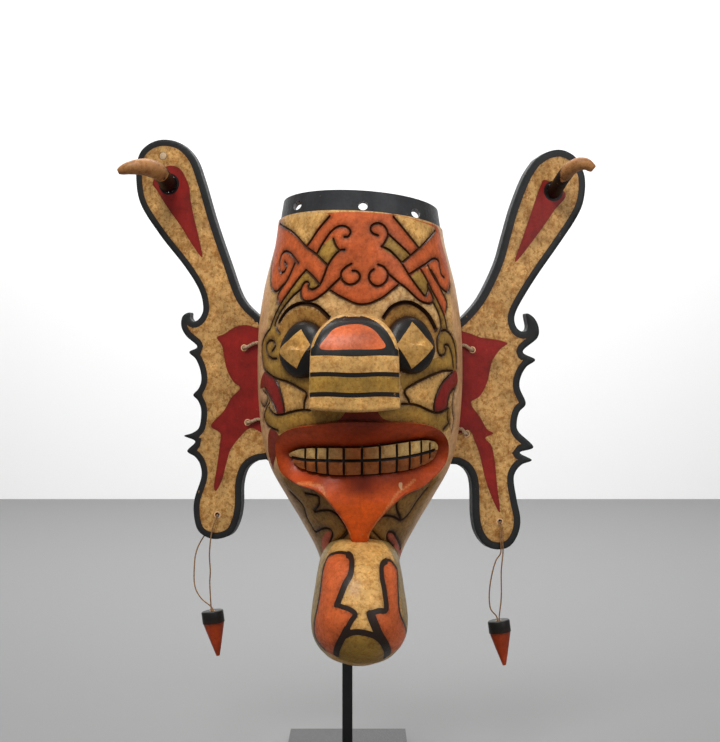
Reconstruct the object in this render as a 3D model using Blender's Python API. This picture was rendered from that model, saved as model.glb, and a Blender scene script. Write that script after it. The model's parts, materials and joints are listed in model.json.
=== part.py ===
"""Carved hudoq mask with board ears, on a rod stand. Blender 4.5, metres, +Z up.

The mask looks along -Y. The origin is the centre of the underside of the stand's base.
Shapes of the mask are worked out in a frame of their own, in which y = 0 is the plane of the
mask's back edge and z = 0 is the height of the eye that sees the front view.
"""

import math

import bmesh
import bpy
import numpy as np
from mathutils import Matrix, Vector
from mathutils.geometry import delaunay_2d_cdt

# Driving dimensions of the face
MASK_HEIGHT = 0.446
FACE_WIDTH = 0.202
FACE_DEPTH = 0.115
WALL = 0.012
RIM_BAND = 0.0195
RIM_REBATE = 0.002
RIM_HOLE_D = 0.009
EYE_D = 0.054
EYE_RISE = 0.012
SOCKET_SINK = 0.004
NOSE_WIDTH = 0.082
NOSE_REACH = 0.165
LIP_RISE = 0.010
LIP_CORNER_SHARE = 0.6
KEEL_RISE = 0.015
TEETH_SINK = 0.006
TEETH_RISE = 0.004
GROOVE_W = 0.0026
GROOVE_DEPTH = 0.0016

# Driving dimensions of the ears and of what hangs on them
EAR_THICKNESS = 0.012
EAR_SWEEP = math.radians(12.0)
LASHING_D = 0.0035
LASHING_HOLE_D = 0.0045
LOBE_HOLE_D = 0.0048
PLUG_D = 0.0075
TWINE_D = 0.0014
PENDANT_D = 0.022
PENDANT_LENGTH = 0.046
PENDANT_COLLAR = 0.012
PENDANT_HOLE_D = 0.0046
PENDANT_HOLE_DEPTH = 0.006
PENDANT_TILT = math.radians(7.5)

# Driving dimensions of the stand
ROD_SIDE = 0.010
ROD_RECESS = 0.080
BASE_WIDTH = 0.120
BASE_DEPTH = 0.172
BASE_THICKNESS = 0.008
ROD_MORTISE = 0.004
STAND_RISE = 0.178
GAP = 0.0003

# The front view: where an eye on the axis sees a point, in drawn millimetres
EYE_DISTANCE = 1500.0
VIEW_X = 360.0
VIEW_Z = 371.0
DRAWN_HEIGHT = 446.0
DRAWN_WIDTH = 202.0
DRAWN_DEPTH = 115.0
UNIT = MASK_HEIGHT / DRAWN_HEIGHT
WIDE = FACE_WIDTH / (DRAWN_WIDTH * UNIT)
DEEP = FACE_DEPTH / (DRAWN_DEPTH * UNIT)

# The face's plan is an oval that runs past its widest place to the back edge
SIDE_ANGLE = math.radians(100.0)
BACK_SHIFT = -math.cos(SIDE_ANGLE)
ARC_RADIUS = 0.105 * UNIT / 0.001
SIDE_ARC = SIDE_ANGLE * ARC_RADIUS

# Height, half width and depth of the face, in drawn millimetres
FACE_PROFILE = (
    (-205, 37.0, 70), (-184, 40.0, 76), (-150, 56.5, 88), (-124, 72.0, 97), (-94, 88.5, 105),
    (-69, 95.5, 109), (-30, 100.0, 113), (10, 101.0, 115), (50, 99.0, 115), (80, 94.5, 114),
    (131, 82.5, 110), (150, 80.0, 107), (175, 75.8, 103),
)
CHIN_Z = -205.0
RIM_Z = 168.4
RIM_PITCH = math.tan(math.radians(4.5))
RIM_ROLL = math.tan(math.radians(3.3))
HOLLOW_FLOOR_Z = -108.0

# Places in the front view, as (across, down)
EYE_PLACES = ((302.0, 349.5), (411.5, 345.0))
RIM_HOLES = ((297.0, 204.5), (363.0, 205.0), (416.0, 212.5))
RIM_HOLE_DIP = math.radians(7.0)
RIM_HOLE_FAN = 0.08

BROW_STROKES = (
    ((279, 322), (287, 310.5), (297, 304.5), (306, 303.5), (316, 306), (323, 311.5), (328.5, 317)),
    ((384, 317), (391, 308), (401, 303), (411, 303), (421, 308), (430, 317), (436.5, 329.5)),
)
FOREHEAD_STROKES = (
    ((279.5, 224), (288, 229.5), (296, 236), (306, 247), (316, 254.5), (327.5, 265.5)),
    ((329.5, 216), (318, 229.5), (307, 245.5)),
    ((316, 254.5), (322, 244), (330, 232.5), (338, 226.5), (346, 226.8), (350.5, 231.5), (348, 236.5),
     (344, 237)),
    ((344.5, 249.8), (339.5, 250.5), (333, 257), (327.5, 265.5), (323.5, 276), (319.5, 284.5),
     (313, 289.3), (308, 288), (308.5, 283.5), (305.5, 281.8), (302, 285.5), (300.3, 292),
     (301.3, 298.5), (306, 301.5), (314, 299.7), (324, 293), (333, 284.5), (341, 277)),
    ((333, 238.5), (335.5, 245.5), (339.5, 250.5)),
    ((305.5, 270), (312, 276), (319.5, 284.5)),
    ((298, 263.5), (293, 257), (288, 252.2), (283.5, 251.8), (280.3, 257), (279, 264), (278.7, 270),
     (281, 273), (284.5, 270.5), (286, 265.5), (284, 261.8)),
    ((294.5, 263), (287, 279.6), (280, 290), (277.2, 296), (277.6, 304)),
    ((305.5, 270), (297, 280), (289, 291), (282, 301), (276, 312), (272.3, 321), (269.5, 329)),
    ((300.3, 289.5), (292.5, 296), (286, 303.5), (280, 312), (276.3, 320), (274.8, 326), (278.5, 333)),
    ((276, 238), (273, 255), (270.5, 272), (270.3, 283), (271.8, 289.5), (274.8, 291.6), (278, 290),
     (283, 284.5)),
    ((330, 290.5), (338, 295.5), (346.5, 299.8), (355, 303.6), (363, 304.6), (372, 302.8),
     (383, 297.5), (392, 290.6), (400.4, 283.7)),
    ((351.5, 263.8), (346, 266.9), (341.5, 271.5), (340.8, 276.8), (343.3, 281.6), (348.4, 284.5),
     (354.5, 283.7), (359, 279.9), (359.9, 275.3), (356.8, 271.5), (352.2, 270.7)),
    ((378, 264.5), (384, 267), (388, 273), (386.5, 281), (380, 286), (373.5, 285), (369.3, 279.5),
     (370, 273), (374, 269.3)),
    ((378.5, 235.5), (373.5, 233.8), (370.5, 229.5), (372.5, 225), (378.5, 223.2), (384.5, 226),
     (387.7, 231.5), (387.6, 237.5), (382.6, 246.2)),
    ((389, 234.5), (398, 242.6), (406, 250), (411.3, 255.6)),
    ((393.6, 216.5), (405, 230), (419.6, 248)),
    ((435.8, 230.8), (428, 240), (419.6, 248.3), (412, 254.8), (403, 262.3)),
    ((381.5, 246.3), (389, 249.8), (396, 256), (402, 263), (408.5, 273.5), (414, 281.5),
     (420, 289.5), (425.8, 296), (428.3, 291), (428.3, 284.5)),
    ((388.5, 274), (394.3, 278.6), (400, 283.5), (407, 288.6), (413.2, 294.6), (419.6, 300.2),
     (425.5, 303), (431, 303.6), (433.8, 300.5), (432.3, 294.5), (428.8, 287.5)),
    ((433.5, 302), (437.8, 310.7), (440.6, 319), (441.5, 327), (440.5, 332)),
    ((421, 268.5), (427.5, 280), (432, 289.5), (437.8, 300), (441.5, 308), (444.8, 316), (447.8, 330)),
    ((431.5, 270), (437.8, 280.5), (441.5, 289.8), (445.3, 297), (447.5, 304), (446.3, 312)),
    ((410.4, 274), (420.3, 267.8), (428.8, 262.3), (432.5, 259.5), (436.4, 258.7), (439.5, 262),
     (440.3, 268), (442, 274.5), (444.8, 277.5)),
    ((428.5, 265.5), (433.3, 275.3), (438.7, 283.9), (443.5, 289.5), (448.4, 292.2), (450.5, 286)),
)
CHEEK_STROKES = (
    ((269.5, 329), (264.6, 335.7), (262, 343.3), (261.4, 353), (262.7, 364.4), (265.3, 371.3),
     (275.5, 378.3), (287, 382), (297.2, 387.2), (306, 393.6), (304.2, 402), (303.6, 410.2)),
    ((271.6, 351), (274.8, 345.9), (272.9, 341.4), (269, 340.8), (266.3, 345), (266.2, 350.4),
     (267.8, 355.5), (271.6, 358.6), (276, 358.6)),
    ((310, 410.5), (301, 410.2), (290.8, 412), (281.9, 414.6), (274.9, 414.6), (270.4, 410.8),
     (268.5, 407.6)),
    ((265.3, 371.3), (271, 375.7), (276.8, 382.8), (280.6, 394.2), (283.2, 405.7), (283.8, 414)),
    ((264.7, 388.5), (271, 400.6), (275.5, 411)),
    ((264, 417.2), (266, 423.6), (270.4, 427.4), (277.4, 430.6)),
    ((442, 331), (446.2, 330.4), (451.1, 334.6), (454.6, 343), (456.5, 354.2), (457, 368)),
    ((440.5, 332), (438.2, 340), (438.3, 350.5), (441, 355.6), (444.8, 354.5), (446.2, 350),
     (445, 345.5), (449, 345.5), (452.5, 355.6), (453.9, 368.2)),
    ((453.5, 371), (443.6, 371.2), (429.6, 376.3), (415.6, 383.3), (405, 391), (408.6, 400),
     (410, 404)),
    ((402, 404), (410, 404), (419, 405.8), (429.6, 410.7), (436.7, 412.8), (443.7, 411.4),
     (448.6, 407.9)),
    ((453.5, 371.5), (443.7, 381.9), (437.4, 393.9), (434.6, 405), (434.8, 411.5)),
    ((454.9, 388.2), (450.7, 393.2), (448.6, 400.2), (447.9, 407.9)),
    ((449.3, 422.6), (443.7, 429.6)),
)
JAW_STROKES = (
    ((290, 492), (296.9, 498.9), (303.2, 507), (306.6, 517.9), (311.2, 525.9), (314.7, 531.6),
     (321, 528.8), (326.7, 528.2), (331.3, 531), (331.9, 535.6), (329, 543.7)),
    ((304.3, 493), (317, 495.5), (318.7, 499.5), (318.1, 505.2), (313.5, 511.5), (322.1, 510.4),
     (329, 510.4), (335.3, 513.3), (340.5, 519), (345, 526)),
    ((428, 488), (423.4, 493.2), (415.4, 504), (409, 514), (401.6, 520), (393.6, 516.7),
     (385.6, 515.6), (380, 517.5)),
    ((398, 499), (397, 508.7), (401.6, 520)),
    ((401, 549), (397, 537.4), (393, 532), (388, 533), (387.9, 539.7), (393.6, 546)),
)
LIP_OUTLINE = (
    (280.5, 446), (283.3, 436), (290, 430.5), (301, 426.3), (320, 423.6), (338, 421), (362, 420.5),
    (387, 421.5), (410, 422), (428, 425.8), (438.5, 432.8), (443.6, 445), (441, 462), (430, 476.5),
    (416, 488.7), (402.3, 494.8), (390, 505), (378.5, 518.5), (370, 532), (366.5, 542.5), (353.5, 542.5),
    (348, 528.5), (339.5, 513.2), (330.3, 500.9), (319.6, 491.7), (302, 485.2), (286, 471.5),
)
MOUTH_OUTLINE = (
    (286, 453.5), (295, 448.5), (307, 446.8), (335, 446.6), (362, 446.4), (390, 443.5),
    (410, 440.5), (429, 438.8), (438.5, 441.5), (440.6, 449), (434.5, 461), (420, 468.5), (401, 473),
    (362.5, 476.4), (330, 476.4), (301, 470.5), (290.5, 462),
)
MOUTH_LINE = ((289, 457.5), (303, 460), (330, 461), (362, 461), (390, 459.5), (415, 456), (438, 450))
TOOTH_GAPS = (302.8, 314.2, 326.0, 343.0, 362.0, 380.8, 398.5, 412.0, 424.0, 433.0)
TOOTH_GAP_ENDS = (
    (448.5, 469.5), (448, 472.5), (448, 475), (448, 475.5), (448, 475.5), (446, 474.5),
    (444.5, 472.5), (442, 469.5), (441, 464.5), (442.5, 459),
)

# The nose block, in drawn millimetres
NOSE_X = -4.9
NOSE_ARCH_Z = 14.0
NOSE_BOTTOM_Z = -34.0
NOSE_SAG = 3.0
NOSE_ROOT_DEPTH = 85.0
NOSE_ARCH_START = 118.0
NOSE_CORNER = 3.0
NOSE_ARCH_CORNER = 9.0
NOSE_BULGE = 4.0

# The knob under the chin: height, half width, front and back, in drawn millimetres
KNOB_PROFILE = (
    (-158, 15.0, 82, 52), (-161, 23.5, 91, 42), (-167, 31.0, 103, 33), (-176, 36.5, 118, 27),
    (-188, 39.5, 131, 25),
    (-204, 42.0, 142, 24), (-220, 44.5, 148, 24), (-236, 45.5, 149, 26), (-250, 43.0, 143, 33),
    (-262, 35.5, 129, 45), (-271, 24.0, 112, 62), (-276, 10.0, 97, 80),
)
KNOB_X = -0.5

# Ear outlines in the front view, up the outer edge from the inner top corner
EAR_OUTLINES = {
    "left": (
        (275, 330), (258, 315), (242, 297), (229, 262), (215, 221), (203, 180), (194, 157), (180, 143),
        (162, 139.5), (147, 145), (138, 157), (136, 180), (141, 205), (160, 235), (185, 267),
        (199, 290), (203, 308), (199.5, 318), (193.5, 321.5), (190, 318), (189.5, 312.4),
        (182.5, 316), (181, 326), (186, 336), (197, 346.5), (189, 352), (195.5, 359), (200, 370),
        (201, 381), (198, 389), (193, 395), (198, 401), (201, 411), (199, 427), (192, 433),
        (184, 436), (195, 441.5), (187, 451), (195, 457), (200, 465), (201, 477.5), (194.5, 498),
        (193.5, 513), (197, 529), (206, 537), (218, 539), (231, 534), (238, 521), (241, 505),
        (241.5, 484), (246, 469), (255, 461.5), (266, 459.5), (277, 458),
    ),
    "right": (
        (445, 330), (459, 320.5), (476, 302), (487, 283), (497, 260), (504, 235), (512, 207),
        (523.5, 177.5), (533.5, 161.5), (538, 157.5), (547, 152), (559, 149.5), (569.5, 152.5),
        (577.5, 159.5), (585, 177), (584, 199), (577, 217), (558.6, 245), (540, 271.5), (525, 295),
        (516, 312), (514.8, 322), (518.5, 329.5), (524.6, 331.5), (528, 327), (526.4, 313.7),
        (534, 317.5), (538.8, 327), (537.5, 338), (523, 351.6), (535.4, 359.6), (526.5, 367),
        (521, 377), (520, 388), (526, 403.4), (519.5, 412), (517, 423), (519, 432), (533.6, 447),
        (520, 452.6), (532, 460), (522, 464.6), (515.7, 472), (514, 481), (517, 500), (520.6, 519),
        (518.4, 533.5), (511, 545.5), (500, 549.5), (487, 546.5), (477, 534), (473, 516), (472, 485),
        (468, 472), (460, 465.3), (450, 464), (443, 463),
    ),
}
SIDES = {"left": -1, "right": 1}
LOBE_HOLES = {"left": (217.4, 514.8), "right": (499.8, 521.7)}
LASHINGS = {
    "upper_left": ("left", (244.2, 347.8), 343.0),
    "lower_left": ("left", (247.6, 422.4), 419.4),
    "upper_right": ("right", (472.4, 349.8), 345.4),
    "lower_right": ("right", (466.6, 433.8), 429.0),
}
PLUG_PLACE = (163.0, 156.0)
TUSK_ROOTS = {"left": (169.0, 184.0), "right": (553.5, 191.0)}

# Tusk centre lines from the board: out sideways, forward, up and half thickness, drawn millimetres
TUSK_LINES = {
    "left": ((0, 0, 0, 8.2), (4, 28, 6, 8.3), (9, 40, 9, 8.8), (19, 49, 10.5, 8.3), (31, 53, 9, 6.6),
             (39, 54, 6.5, 4.6), (42.5, 54, 5, 2.6)),
    "right": ((0, 0, 0, 7.2), (6, 27, 10, 7.2), (11, 38, 16.5, 7.0), (18, 45, 20.5, 6.7),
              (25, 48, 20.5, 6.0), (31, 48, 17, 4.6), (33, 48, 15.5, 3.4)),
}

# Twine of each pendant: points as (across, down, depth behind the mask's back plane)
TWINE_ROUTES = {
    "left": ((211.2, 614.5, 3), (211.0, 607, 2.6), (209.8, 583.5, 0.5), (210.3, 571, -1), (209.5, 552, -3),
             (212, 531, -5.2), (215.3, 520.5, -5.5), (216.8, 516.6, -5.7), (217.4, 514.9, -3.6),
             (221.1, 513.8, 9.0), (221, 515.2, 11.6), (216, 522, 13.2), (203.7, 536.5, 12.5),
             (196.5, 551, 11), (194.3, 567, 9), (194.8, 585.5, 7), (201, 598, 5),
             (212.0, 607.5, 3.4), (213.2, 614.5, 3)),
    "right": ((499.5, 624, 3), (499.3, 616, 2.6), (501.3, 597, 0.5), (501.3, 571, -2), (503, 552, -5.2),
              (502.2, 535, -6.1), (501.2, 526, -6.2), (500.9, 523.2, -6.3), (500.7, 521.9, -4.4),
              (496.9, 520.6, 9.0), (498.5, 517, 12), (496, 512.5, 13), (492.5, 516, 12),
              (495.0, 520.6, 9.0), (498.8, 521.9, -4.4), (498.9, 523.2, -6.3), (499.2, 526, -6.2),
              (500.2, 535, -6.1), (500.8, 552, -5.2), (496, 560.5, -3.2), (492, 574, -1), (489.4, 592, 1),
              (490.4, 608, 2.2), (496.6, 616.5, 2.8), (497.5, 624, 3)),
}
PENDANT_PLACES = {"left": (212.2, 610.5), "right": (498.5, 620.0)}
PENDANT_DEPTH = 3.0

# The stand's upright behind the knob, from the mask's middle and back plane
ROD_X = -12.5
ROD_Y = -13.0

COLOURS = {
    "face_wood": ((0.50, 0.34, 0.15), 0.45, 0.0),
    "ear_wood": ((0.48, 0.33, 0.15), 0.5, 0.0),
    "tusk_wood": ((0.60, 0.36, 0.18), 0.5, 0.0),
    "plug_wood": ((0.70, 0.58, 0.42), 0.6, 0.0),
    "pendant_wood": ((0.55, 0.14, 0.04), 0.5, 0.0),
    "twine": ((0.28, 0.15, 0.07), 0.9, 0.0),
    "lashing_fibre": ((0.62, 0.50, 0.38), 0.9, 0.0),
    "stand_black": ((0.012, 0.012, 0.013), 0.45, 0.3),
}


def mask_place():
    """Return where the middle of the mask's back plane stands, from the stand's own sizes."""
    drop = -CHIN_Z * UNIT + STAND_RISE
    return Vector((-ROD_X * UNIT, -ROD_Y * UNIT, drop))


def smooth_through(x, table, column):
    """Return a smooth curve through a table's column, at the values x of its first column."""
    knots = np.array([row[0] for row in table], dtype=float)
    values = np.array([row[column] for row in table], dtype=float)
    slopes = np.gradient(values, knots)
    x = np.clip(x, knots[0], knots[-1])
    i = np.clip(np.searchsorted(knots, x) - 1, 0, len(knots) - 2)
    step = knots[i + 1] - knots[i]
    t = (x - knots[i]) / step
    return ((1 + 2 * t) * (1 - t) ** 2 * values[i] + t * (1 - t) ** 2 * step * slopes[i]
            + t * t * (3 - 2 * t) * values[i + 1] + t * t * (t - 1) * step * slopes[i + 1])


def half_width(z):
    """Return the face's half width at height z."""
    return smooth_through(z / UNIT, FACE_PROFILE, 1) * UNIT * WIDE


def reach(z):
    """Return how far the face stands in front of its back plane at height z."""
    return smooth_through(z / UNIT, FACE_PROFILE, 2) * UNIT * DEEP


def face_surface(arc, z, lift=0.0):
    """Return points of the face at a distance lift outside its plain surface."""
    arc, z, lift = np.broadcast_arrays(np.asarray(arc, float), np.asarray(z, float), np.asarray(lift, float))
    angle = arc / ARC_RADIUS
    width, depth = half_width(z), reach(z) / (1 + BACK_SHIFT)
    across = np.stack([depth * np.sin(angle), -width * np.cos(angle)], axis=-1)
    across /= np.linalg.norm(across, axis=-1, keepdims=True)
    x = width * np.sin(angle) + lift * across[..., 0]
    y = -depth * (np.cos(angle) + BACK_SHIFT) + lift * across[..., 1]
    return np.stack([x, y, z], axis=-1)


def on_face(points):
    """Return (arc, z) of the face's points that the front view shows at the given places."""
    seen = np.array(points, dtype=float)
    across, up = seen[:, 0] - VIEW_X, VIEW_Z - seen[:, 1]
    y = -reach(up * UNIT) / UNIT
    for _ in range(12):
        nearer = 1 + y / EYE_DISTANCE
        z = up * nearer * UNIT
        sine = np.clip(across * nearer * UNIT * WIDE / half_width(z), -1, 1)
        angle = np.arcsin(sine)
        y = -reach(z) * (np.cos(angle) + BACK_SHIFT) / (1 + BACK_SHIFT) / UNIT
    return np.stack([angle * ARC_RADIUS, z], axis=-1)


def smooth_path(points, spacing, closed=False):
    """Return points every spacing or so on a Catmull-Rom curve through the given points."""
    points = np.asarray(points, dtype=float)
    count = len(points)
    out = []
    for i in range(count if closed else count - 1):
        if closed:
            p0, p1, p2, p3 = (points[(i + k) % count] for k in (-1, 0, 1, 2))
        else:
            p0, p1, p2, p3 = (points[min(max(i + k, 0), count - 1)] for k in (-1, 0, 1, 2))
        steps = max(1, round(float(np.linalg.norm(p2 - p1)) / spacing))
        for t in np.arange(steps) / steps:
            out.append(0.5 * (2 * p1 + (p2 - p0) * t + (2 * p0 - 5 * p1 + 4 * p2 - p3) * t ** 2
                              + (3 * p1 - p0 - 3 * p2 + p3) * t ** 3))
    if not closed:
        out.append(points[-1])
    return np.array(out)


def side_steps(path, closed):
    """Return the unit vector to the left of a path at each of its points."""
    if closed:
        along = np.roll(path, -1, axis=0) - np.roll(path, 1, axis=0)
    else:
        along = np.gradient(path, axis=0)
    along /= np.linalg.norm(along, axis=1, keepdims=True)
    return np.stack([-along[:, 1], along[:, 0]], axis=-1)


def distance_to(points, path, closed=False):
    """Return each point's distance to a path."""
    ends = np.roll(path, -1, axis=0) if closed else path[1:]
    starts = path if closed else path[:-1]
    along = ends - starts
    offset = points[:, None, :] - starts[None, :, :]
    t = np.clip((offset * along).sum(-1) / np.maximum((along ** 2).sum(-1), 1e-14), 0, 1)
    return np.linalg.norm(offset - t[..., None] * along, axis=-1).min(axis=1)


def inside(points, outline):
    """Return which points lie inside a closed outline."""
    x, y = points[:, 0:1], points[:, 1:2]
    x0, y0 = outline[:, 0], outline[:, 1]
    x1, y1 = np.roll(x0, -1), np.roll(y0, -1)
    crosses = (y0 > y) != (y1 > y)
    at = x0 + (y - y0) * (x1 - x0) / np.where(y1 == y0, 1e-12, y1 - y0)
    return ((crosses & (x < at)).sum(axis=1) % 2).astype(bool)


def ramp(value, low, high):
    """Return 0 below low, 1 above high, and a straight slope between them."""
    return np.clip((value - low) / (high - low), 0, 1)


def rim_height(arc):
    """Return the height of the mask's sawn rim at a distance round the face."""
    top = face_surface(arc, np.full_like(np.asarray(arc, float), RIM_Z * UNIT))
    forward = -top[..., 1] - FACE_DEPTH * 0.9
    return RIM_Z * UNIT + RIM_PITCH * forward - RIM_ROLL * top[..., 0]


def rim_hole_way(arc):
    """Return the direction in which a rim hole comes out of the face."""
    turn = arc / ARC_RADIUS * RIM_HOLE_FAN
    level = math.cos(RIM_HOLE_DIP)
    return Vector((math.sin(turn) * level, -math.cos(turn) * level, math.sin(RIM_HOLE_DIP)))


class Groove:
    """A V-shaped line cut into the face along a smooth path."""

    def __init__(self, places, width=GROOVE_W, depth=GROOVE_DEPTH, spacing=0.0105):
        self.path = smooth_path(on_face(places), spacing * UNIT / 0.001)
        self.half = width / 2
        self.depth = depth

    def sink(self, points):
        """Return how deep the groove is at each point."""
        near = distance_to(points, self.path)
        return self.depth * np.clip(1 - near / self.half, 0, 1)

    def edges(self):
        """Return the groove's two edges with its ends, as one closed line."""
        step = side_steps(self.path, False) * self.half
        start = self.path[0] - (self.path[1] - self.path[0]) * self.half / np.linalg.norm(
            self.path[1] - self.path[0])
        end = self.path[-1] + (self.path[-1] - self.path[-2]) * self.half / np.linalg.norm(
            self.path[-1] - self.path[-2])
        return np.vstack([start, self.path + step, end, (self.path - step)[::-1]])


class FaceFront:
    """The carved front of the face: lines that its mesh must follow, and its relief."""

    def __init__(self):
        self.lip = smooth_path(on_face(LIP_OUTLINE), 0.012, closed=True)
        self.mouth = smooth_path(on_face(MOUTH_OUTLINE), 0.014, closed=True)
        self.lip_turn = self.facing_in(self.lip)
        self.mouth_turn = self.facing_in(self.mouth)
        self.eyes = on_face(EYE_PLACES)
        self.grooves = [Groove(places) for places in FOREHEAD_STROKES + CHEEK_STROKES + JAW_STROKES]
        self.brows = [Groove(places, 0.0042, 0.0035) for places in BROW_STROKES]
        self.gaps = [Groove(MOUTH_LINE, 0.0032, TEETH_RISE * 0.7, 0.009)]
        for across, (top, bottom) in zip(TOOTH_GAPS, TOOTH_GAP_ENDS):
            gap = ((across, top + 1.5), (across, bottom - 1.5))
            self.gaps.append(Groove(gap, 0.0032, TEETH_RISE * 0.7, 0.02))

    @staticmethod
    def facing_in(outline):
        """Return unit steps from a closed outline's points towards its inside."""
        step = side_steps(outline, True)
        test = outline + step * 0.0005
        return step if inside(test, outline).mean() > 0.5 else -step

    def lip_height(self, points):
        """Return the lips' and keel's height at each point, and which points they cover."""
        z = points[:, 1] / UNIT
        crest = LIP_RISE + (KEEL_RISE - LIP_RISE) * ramp(-z, 100, 122) - KEEL_RISE * 0.45 * ramp(-z, 128, 162)
        crest *= 1 - (1 - LIP_CORNER_SHARE) * ramp(np.abs(points[:, 0]) / ARC_RADIUS, 0.55, 1.05)
        from_edge = distance_to(points, self.lip, True)
        from_mouth = distance_to(points, self.mouth, True)
        slope = np.clip(from_edge - 0.0014, 0, None)
        share = (slope / np.maximum(slope + from_mouth, 1e-6)) ** 1.2
        height = crest * (1 - share) - TEETH_SINK * share
        height *= ramp(from_edge, 0, 0.0014)
        in_mouth = inside(points, self.mouth)
        teeth = -TEETH_SINK + TEETH_RISE * ramp(from_mouth, 0, 0.0016)
        teeth -= sum_deepest(self.gaps, points)
        return np.where(in_mouth, teeth, height), inside(points, self.lip)

    def relief(self, points):
        """Return the height of the carving above the plain face at each point."""
        height = -sum_deepest(self.grooves, points)
        for eye, brow in zip(self.eyes, self.brows):
            away = points - eye
            r = np.hypot(away[:, 0], away[:, 1])
            upper = ramp(away[:, 1] / np.maximum(r, 1e-6), -0.2, 0.6)
            socket = SOCKET_SINK * upper * ramp(r, EYE_D * 0.72, EYE_D * 0.5)
            dome = EYE_RISE * np.sqrt(np.clip(1 - (2 * r / EYE_D) ** 2.6, 0, 1))
            height -= np.maximum(socket, brow.sink(points))
            height += np.where(2 * r < EYE_D, dome + sum_deepest(self.grooves, points), 0)
        lips, covered = self.lip_height(points)
        height = np.where(covered, lips, height)
        band = points[:, 1] > rim_height(points[:, 0]) - RIM_BAND + 0.0002
        return np.where(band, -RIM_REBATE, height)

    def lines(self):
        """Return the lines that the mesh follows, each with whether it closes."""
        arcs = np.linspace(-SIDE_ARC, SIDE_ARC, 27)
        rim = rim_height(arcs)
        sides = np.linspace(0, 1, 17)[1:-1]
        left = np.stack([np.full_like(sides, -SIDE_ARC),
                         CHIN_Z * UNIT + sides * (rim[0] - RIM_BAND - CHIN_Z * UNIT)], axis=-1)
        right = np.stack([np.full_like(sides, SIDE_ARC),
                          CHIN_Z * UNIT + sides * (rim[-1] - RIM_BAND - CHIN_Z * UNIT)], axis=-1)
        bottom = np.stack([arcs, np.full_like(arcs, CHIN_Z * UNIT)], axis=-1)
        step = np.stack([arcs, rim - RIM_BAND], axis=-1)
        step_top = np.stack([arcs, rim - RIM_BAND + 0.0004], axis=-1)
        top = np.stack([arcs, rim], axis=-1)
        border = np.vstack([bottom, right, step[-1], step_top[-1], top[::-1],
                            step_top[0], step[0], left[::-1]])
        found = [(border, True), (step, False), (step_top, False)]
        for eye in self.eyes:
            turn = np.linspace(0, 2 * math.pi, 18, endpoint=False)
            ring = np.stack([np.cos(turn), np.sin(turn)], axis=-1)
            for share in (0.5, 0.465, 0.27):
                found.append((eye + ring * EYE_D * share, True))
        for groove in self.grooves + self.brows + self.gaps:
            found += [(groove.edges(), True), (groove.path, False)]
        found += [(self.lip, True), (self.lip + self.lip_turn * 0.0014, True)]
        found += [(self.mouth, True), (self.mouth + self.mouth_turn * 0.0016, True)]
        return found

    def fill_points(self):
        """Return loose points that give the mesh its curve where no line runs."""
        arcs = np.arange(-SIDE_ARC + 0.0155, SIDE_ARC - 0.006, 0.0155)
        rows = np.arange(CHIN_Z * UNIT + 0.011, RIM_Z * UNIT - 0.01, 0.0190)
        grid = np.array([(a + 0.005 * (j % 2), z) for j, z in enumerate(rows) for a in arcs])
        grid = grid[grid[:, 0] < SIDE_ARC - 0.005]
        keep = grid[:, 1] < rim_height(grid[:, 0]) - RIM_BAND - 0.004
        for line, closed in self.lines():
            keep &= distance_to(grid, line, closed) > 0.0045
        return grid[keep]


def sum_deepest(grooves, points):
    """Return the depth of the deepest of several grooves at each point."""
    return np.max([groove.sink(points) for groove in grooves], axis=0)


def mesh_from(bm, name):
    """Return a mesh made from a bmesh, with its faces pointing out."""
    bmesh.ops.recalc_face_normals(bm, faces=bm.faces[:])
    mesh = bpy.data.meshes.new(name)
    bm.to_mesh(mesh)
    bm.free()
    return mesh


def add_object(name, mesh, material=None, matrix=None):
    """Link an object to the scene and return it; one without a material is a cutter."""
    obj = bpy.data.objects.new(name, mesh)
    bpy.context.collection.objects.link(obj)
    if matrix is not None:
        obj.matrix_world = matrix
    if material is None:
        obj.hide_render = True
        obj.display_type = "WIRE"
    else:
        mesh.materials.append(material)
        if isinstance(mesh, bpy.types.Mesh):
            mesh.shade_smooth()
            mesh.set_sharp_from_angle(angle=math.radians(35))
    return obj


def material(name):
    """Return a plain material in one of the object's colours."""
    colour, roughness, metallic = COLOURS[name]
    made = bpy.data.materials.new(name)
    made.use_nodes = True
    shader = made.node_tree.nodes["Principled BSDF"]
    shader.inputs["Base Color"].default_value = (*colour, 1)
    shader.inputs["Roughness"].default_value = roughness
    shader.inputs["Metallic"].default_value = metallic
    return made


def loft(rings, name):
    """Return a closed mesh over rings of points, with flat ends."""
    bm = bmesh.new()
    rows = [[bm.verts.new(point) for point in ring] for ring in rings]
    count = len(rows[0])
    for low, high in zip(rows, rows[1:]):
        for i in range(count):
            j = (i + 1) % count
            bm.faces.new((low[i], low[j], high[j], high[i]))
    bm.faces.new(rows[0])
    bm.faces.new(rows[-1])
    return mesh_from(bm, name)


def combine(obj, operation, *others):
    """Add Boolean modifiers that join others to an object, or cut them from it."""
    for other in others:
        modifier = obj.modifiers.new(other.name, "BOOLEAN")
        modifier.operation = operation
        modifier.object = other
        modifier.solver = "EXACT"


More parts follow.
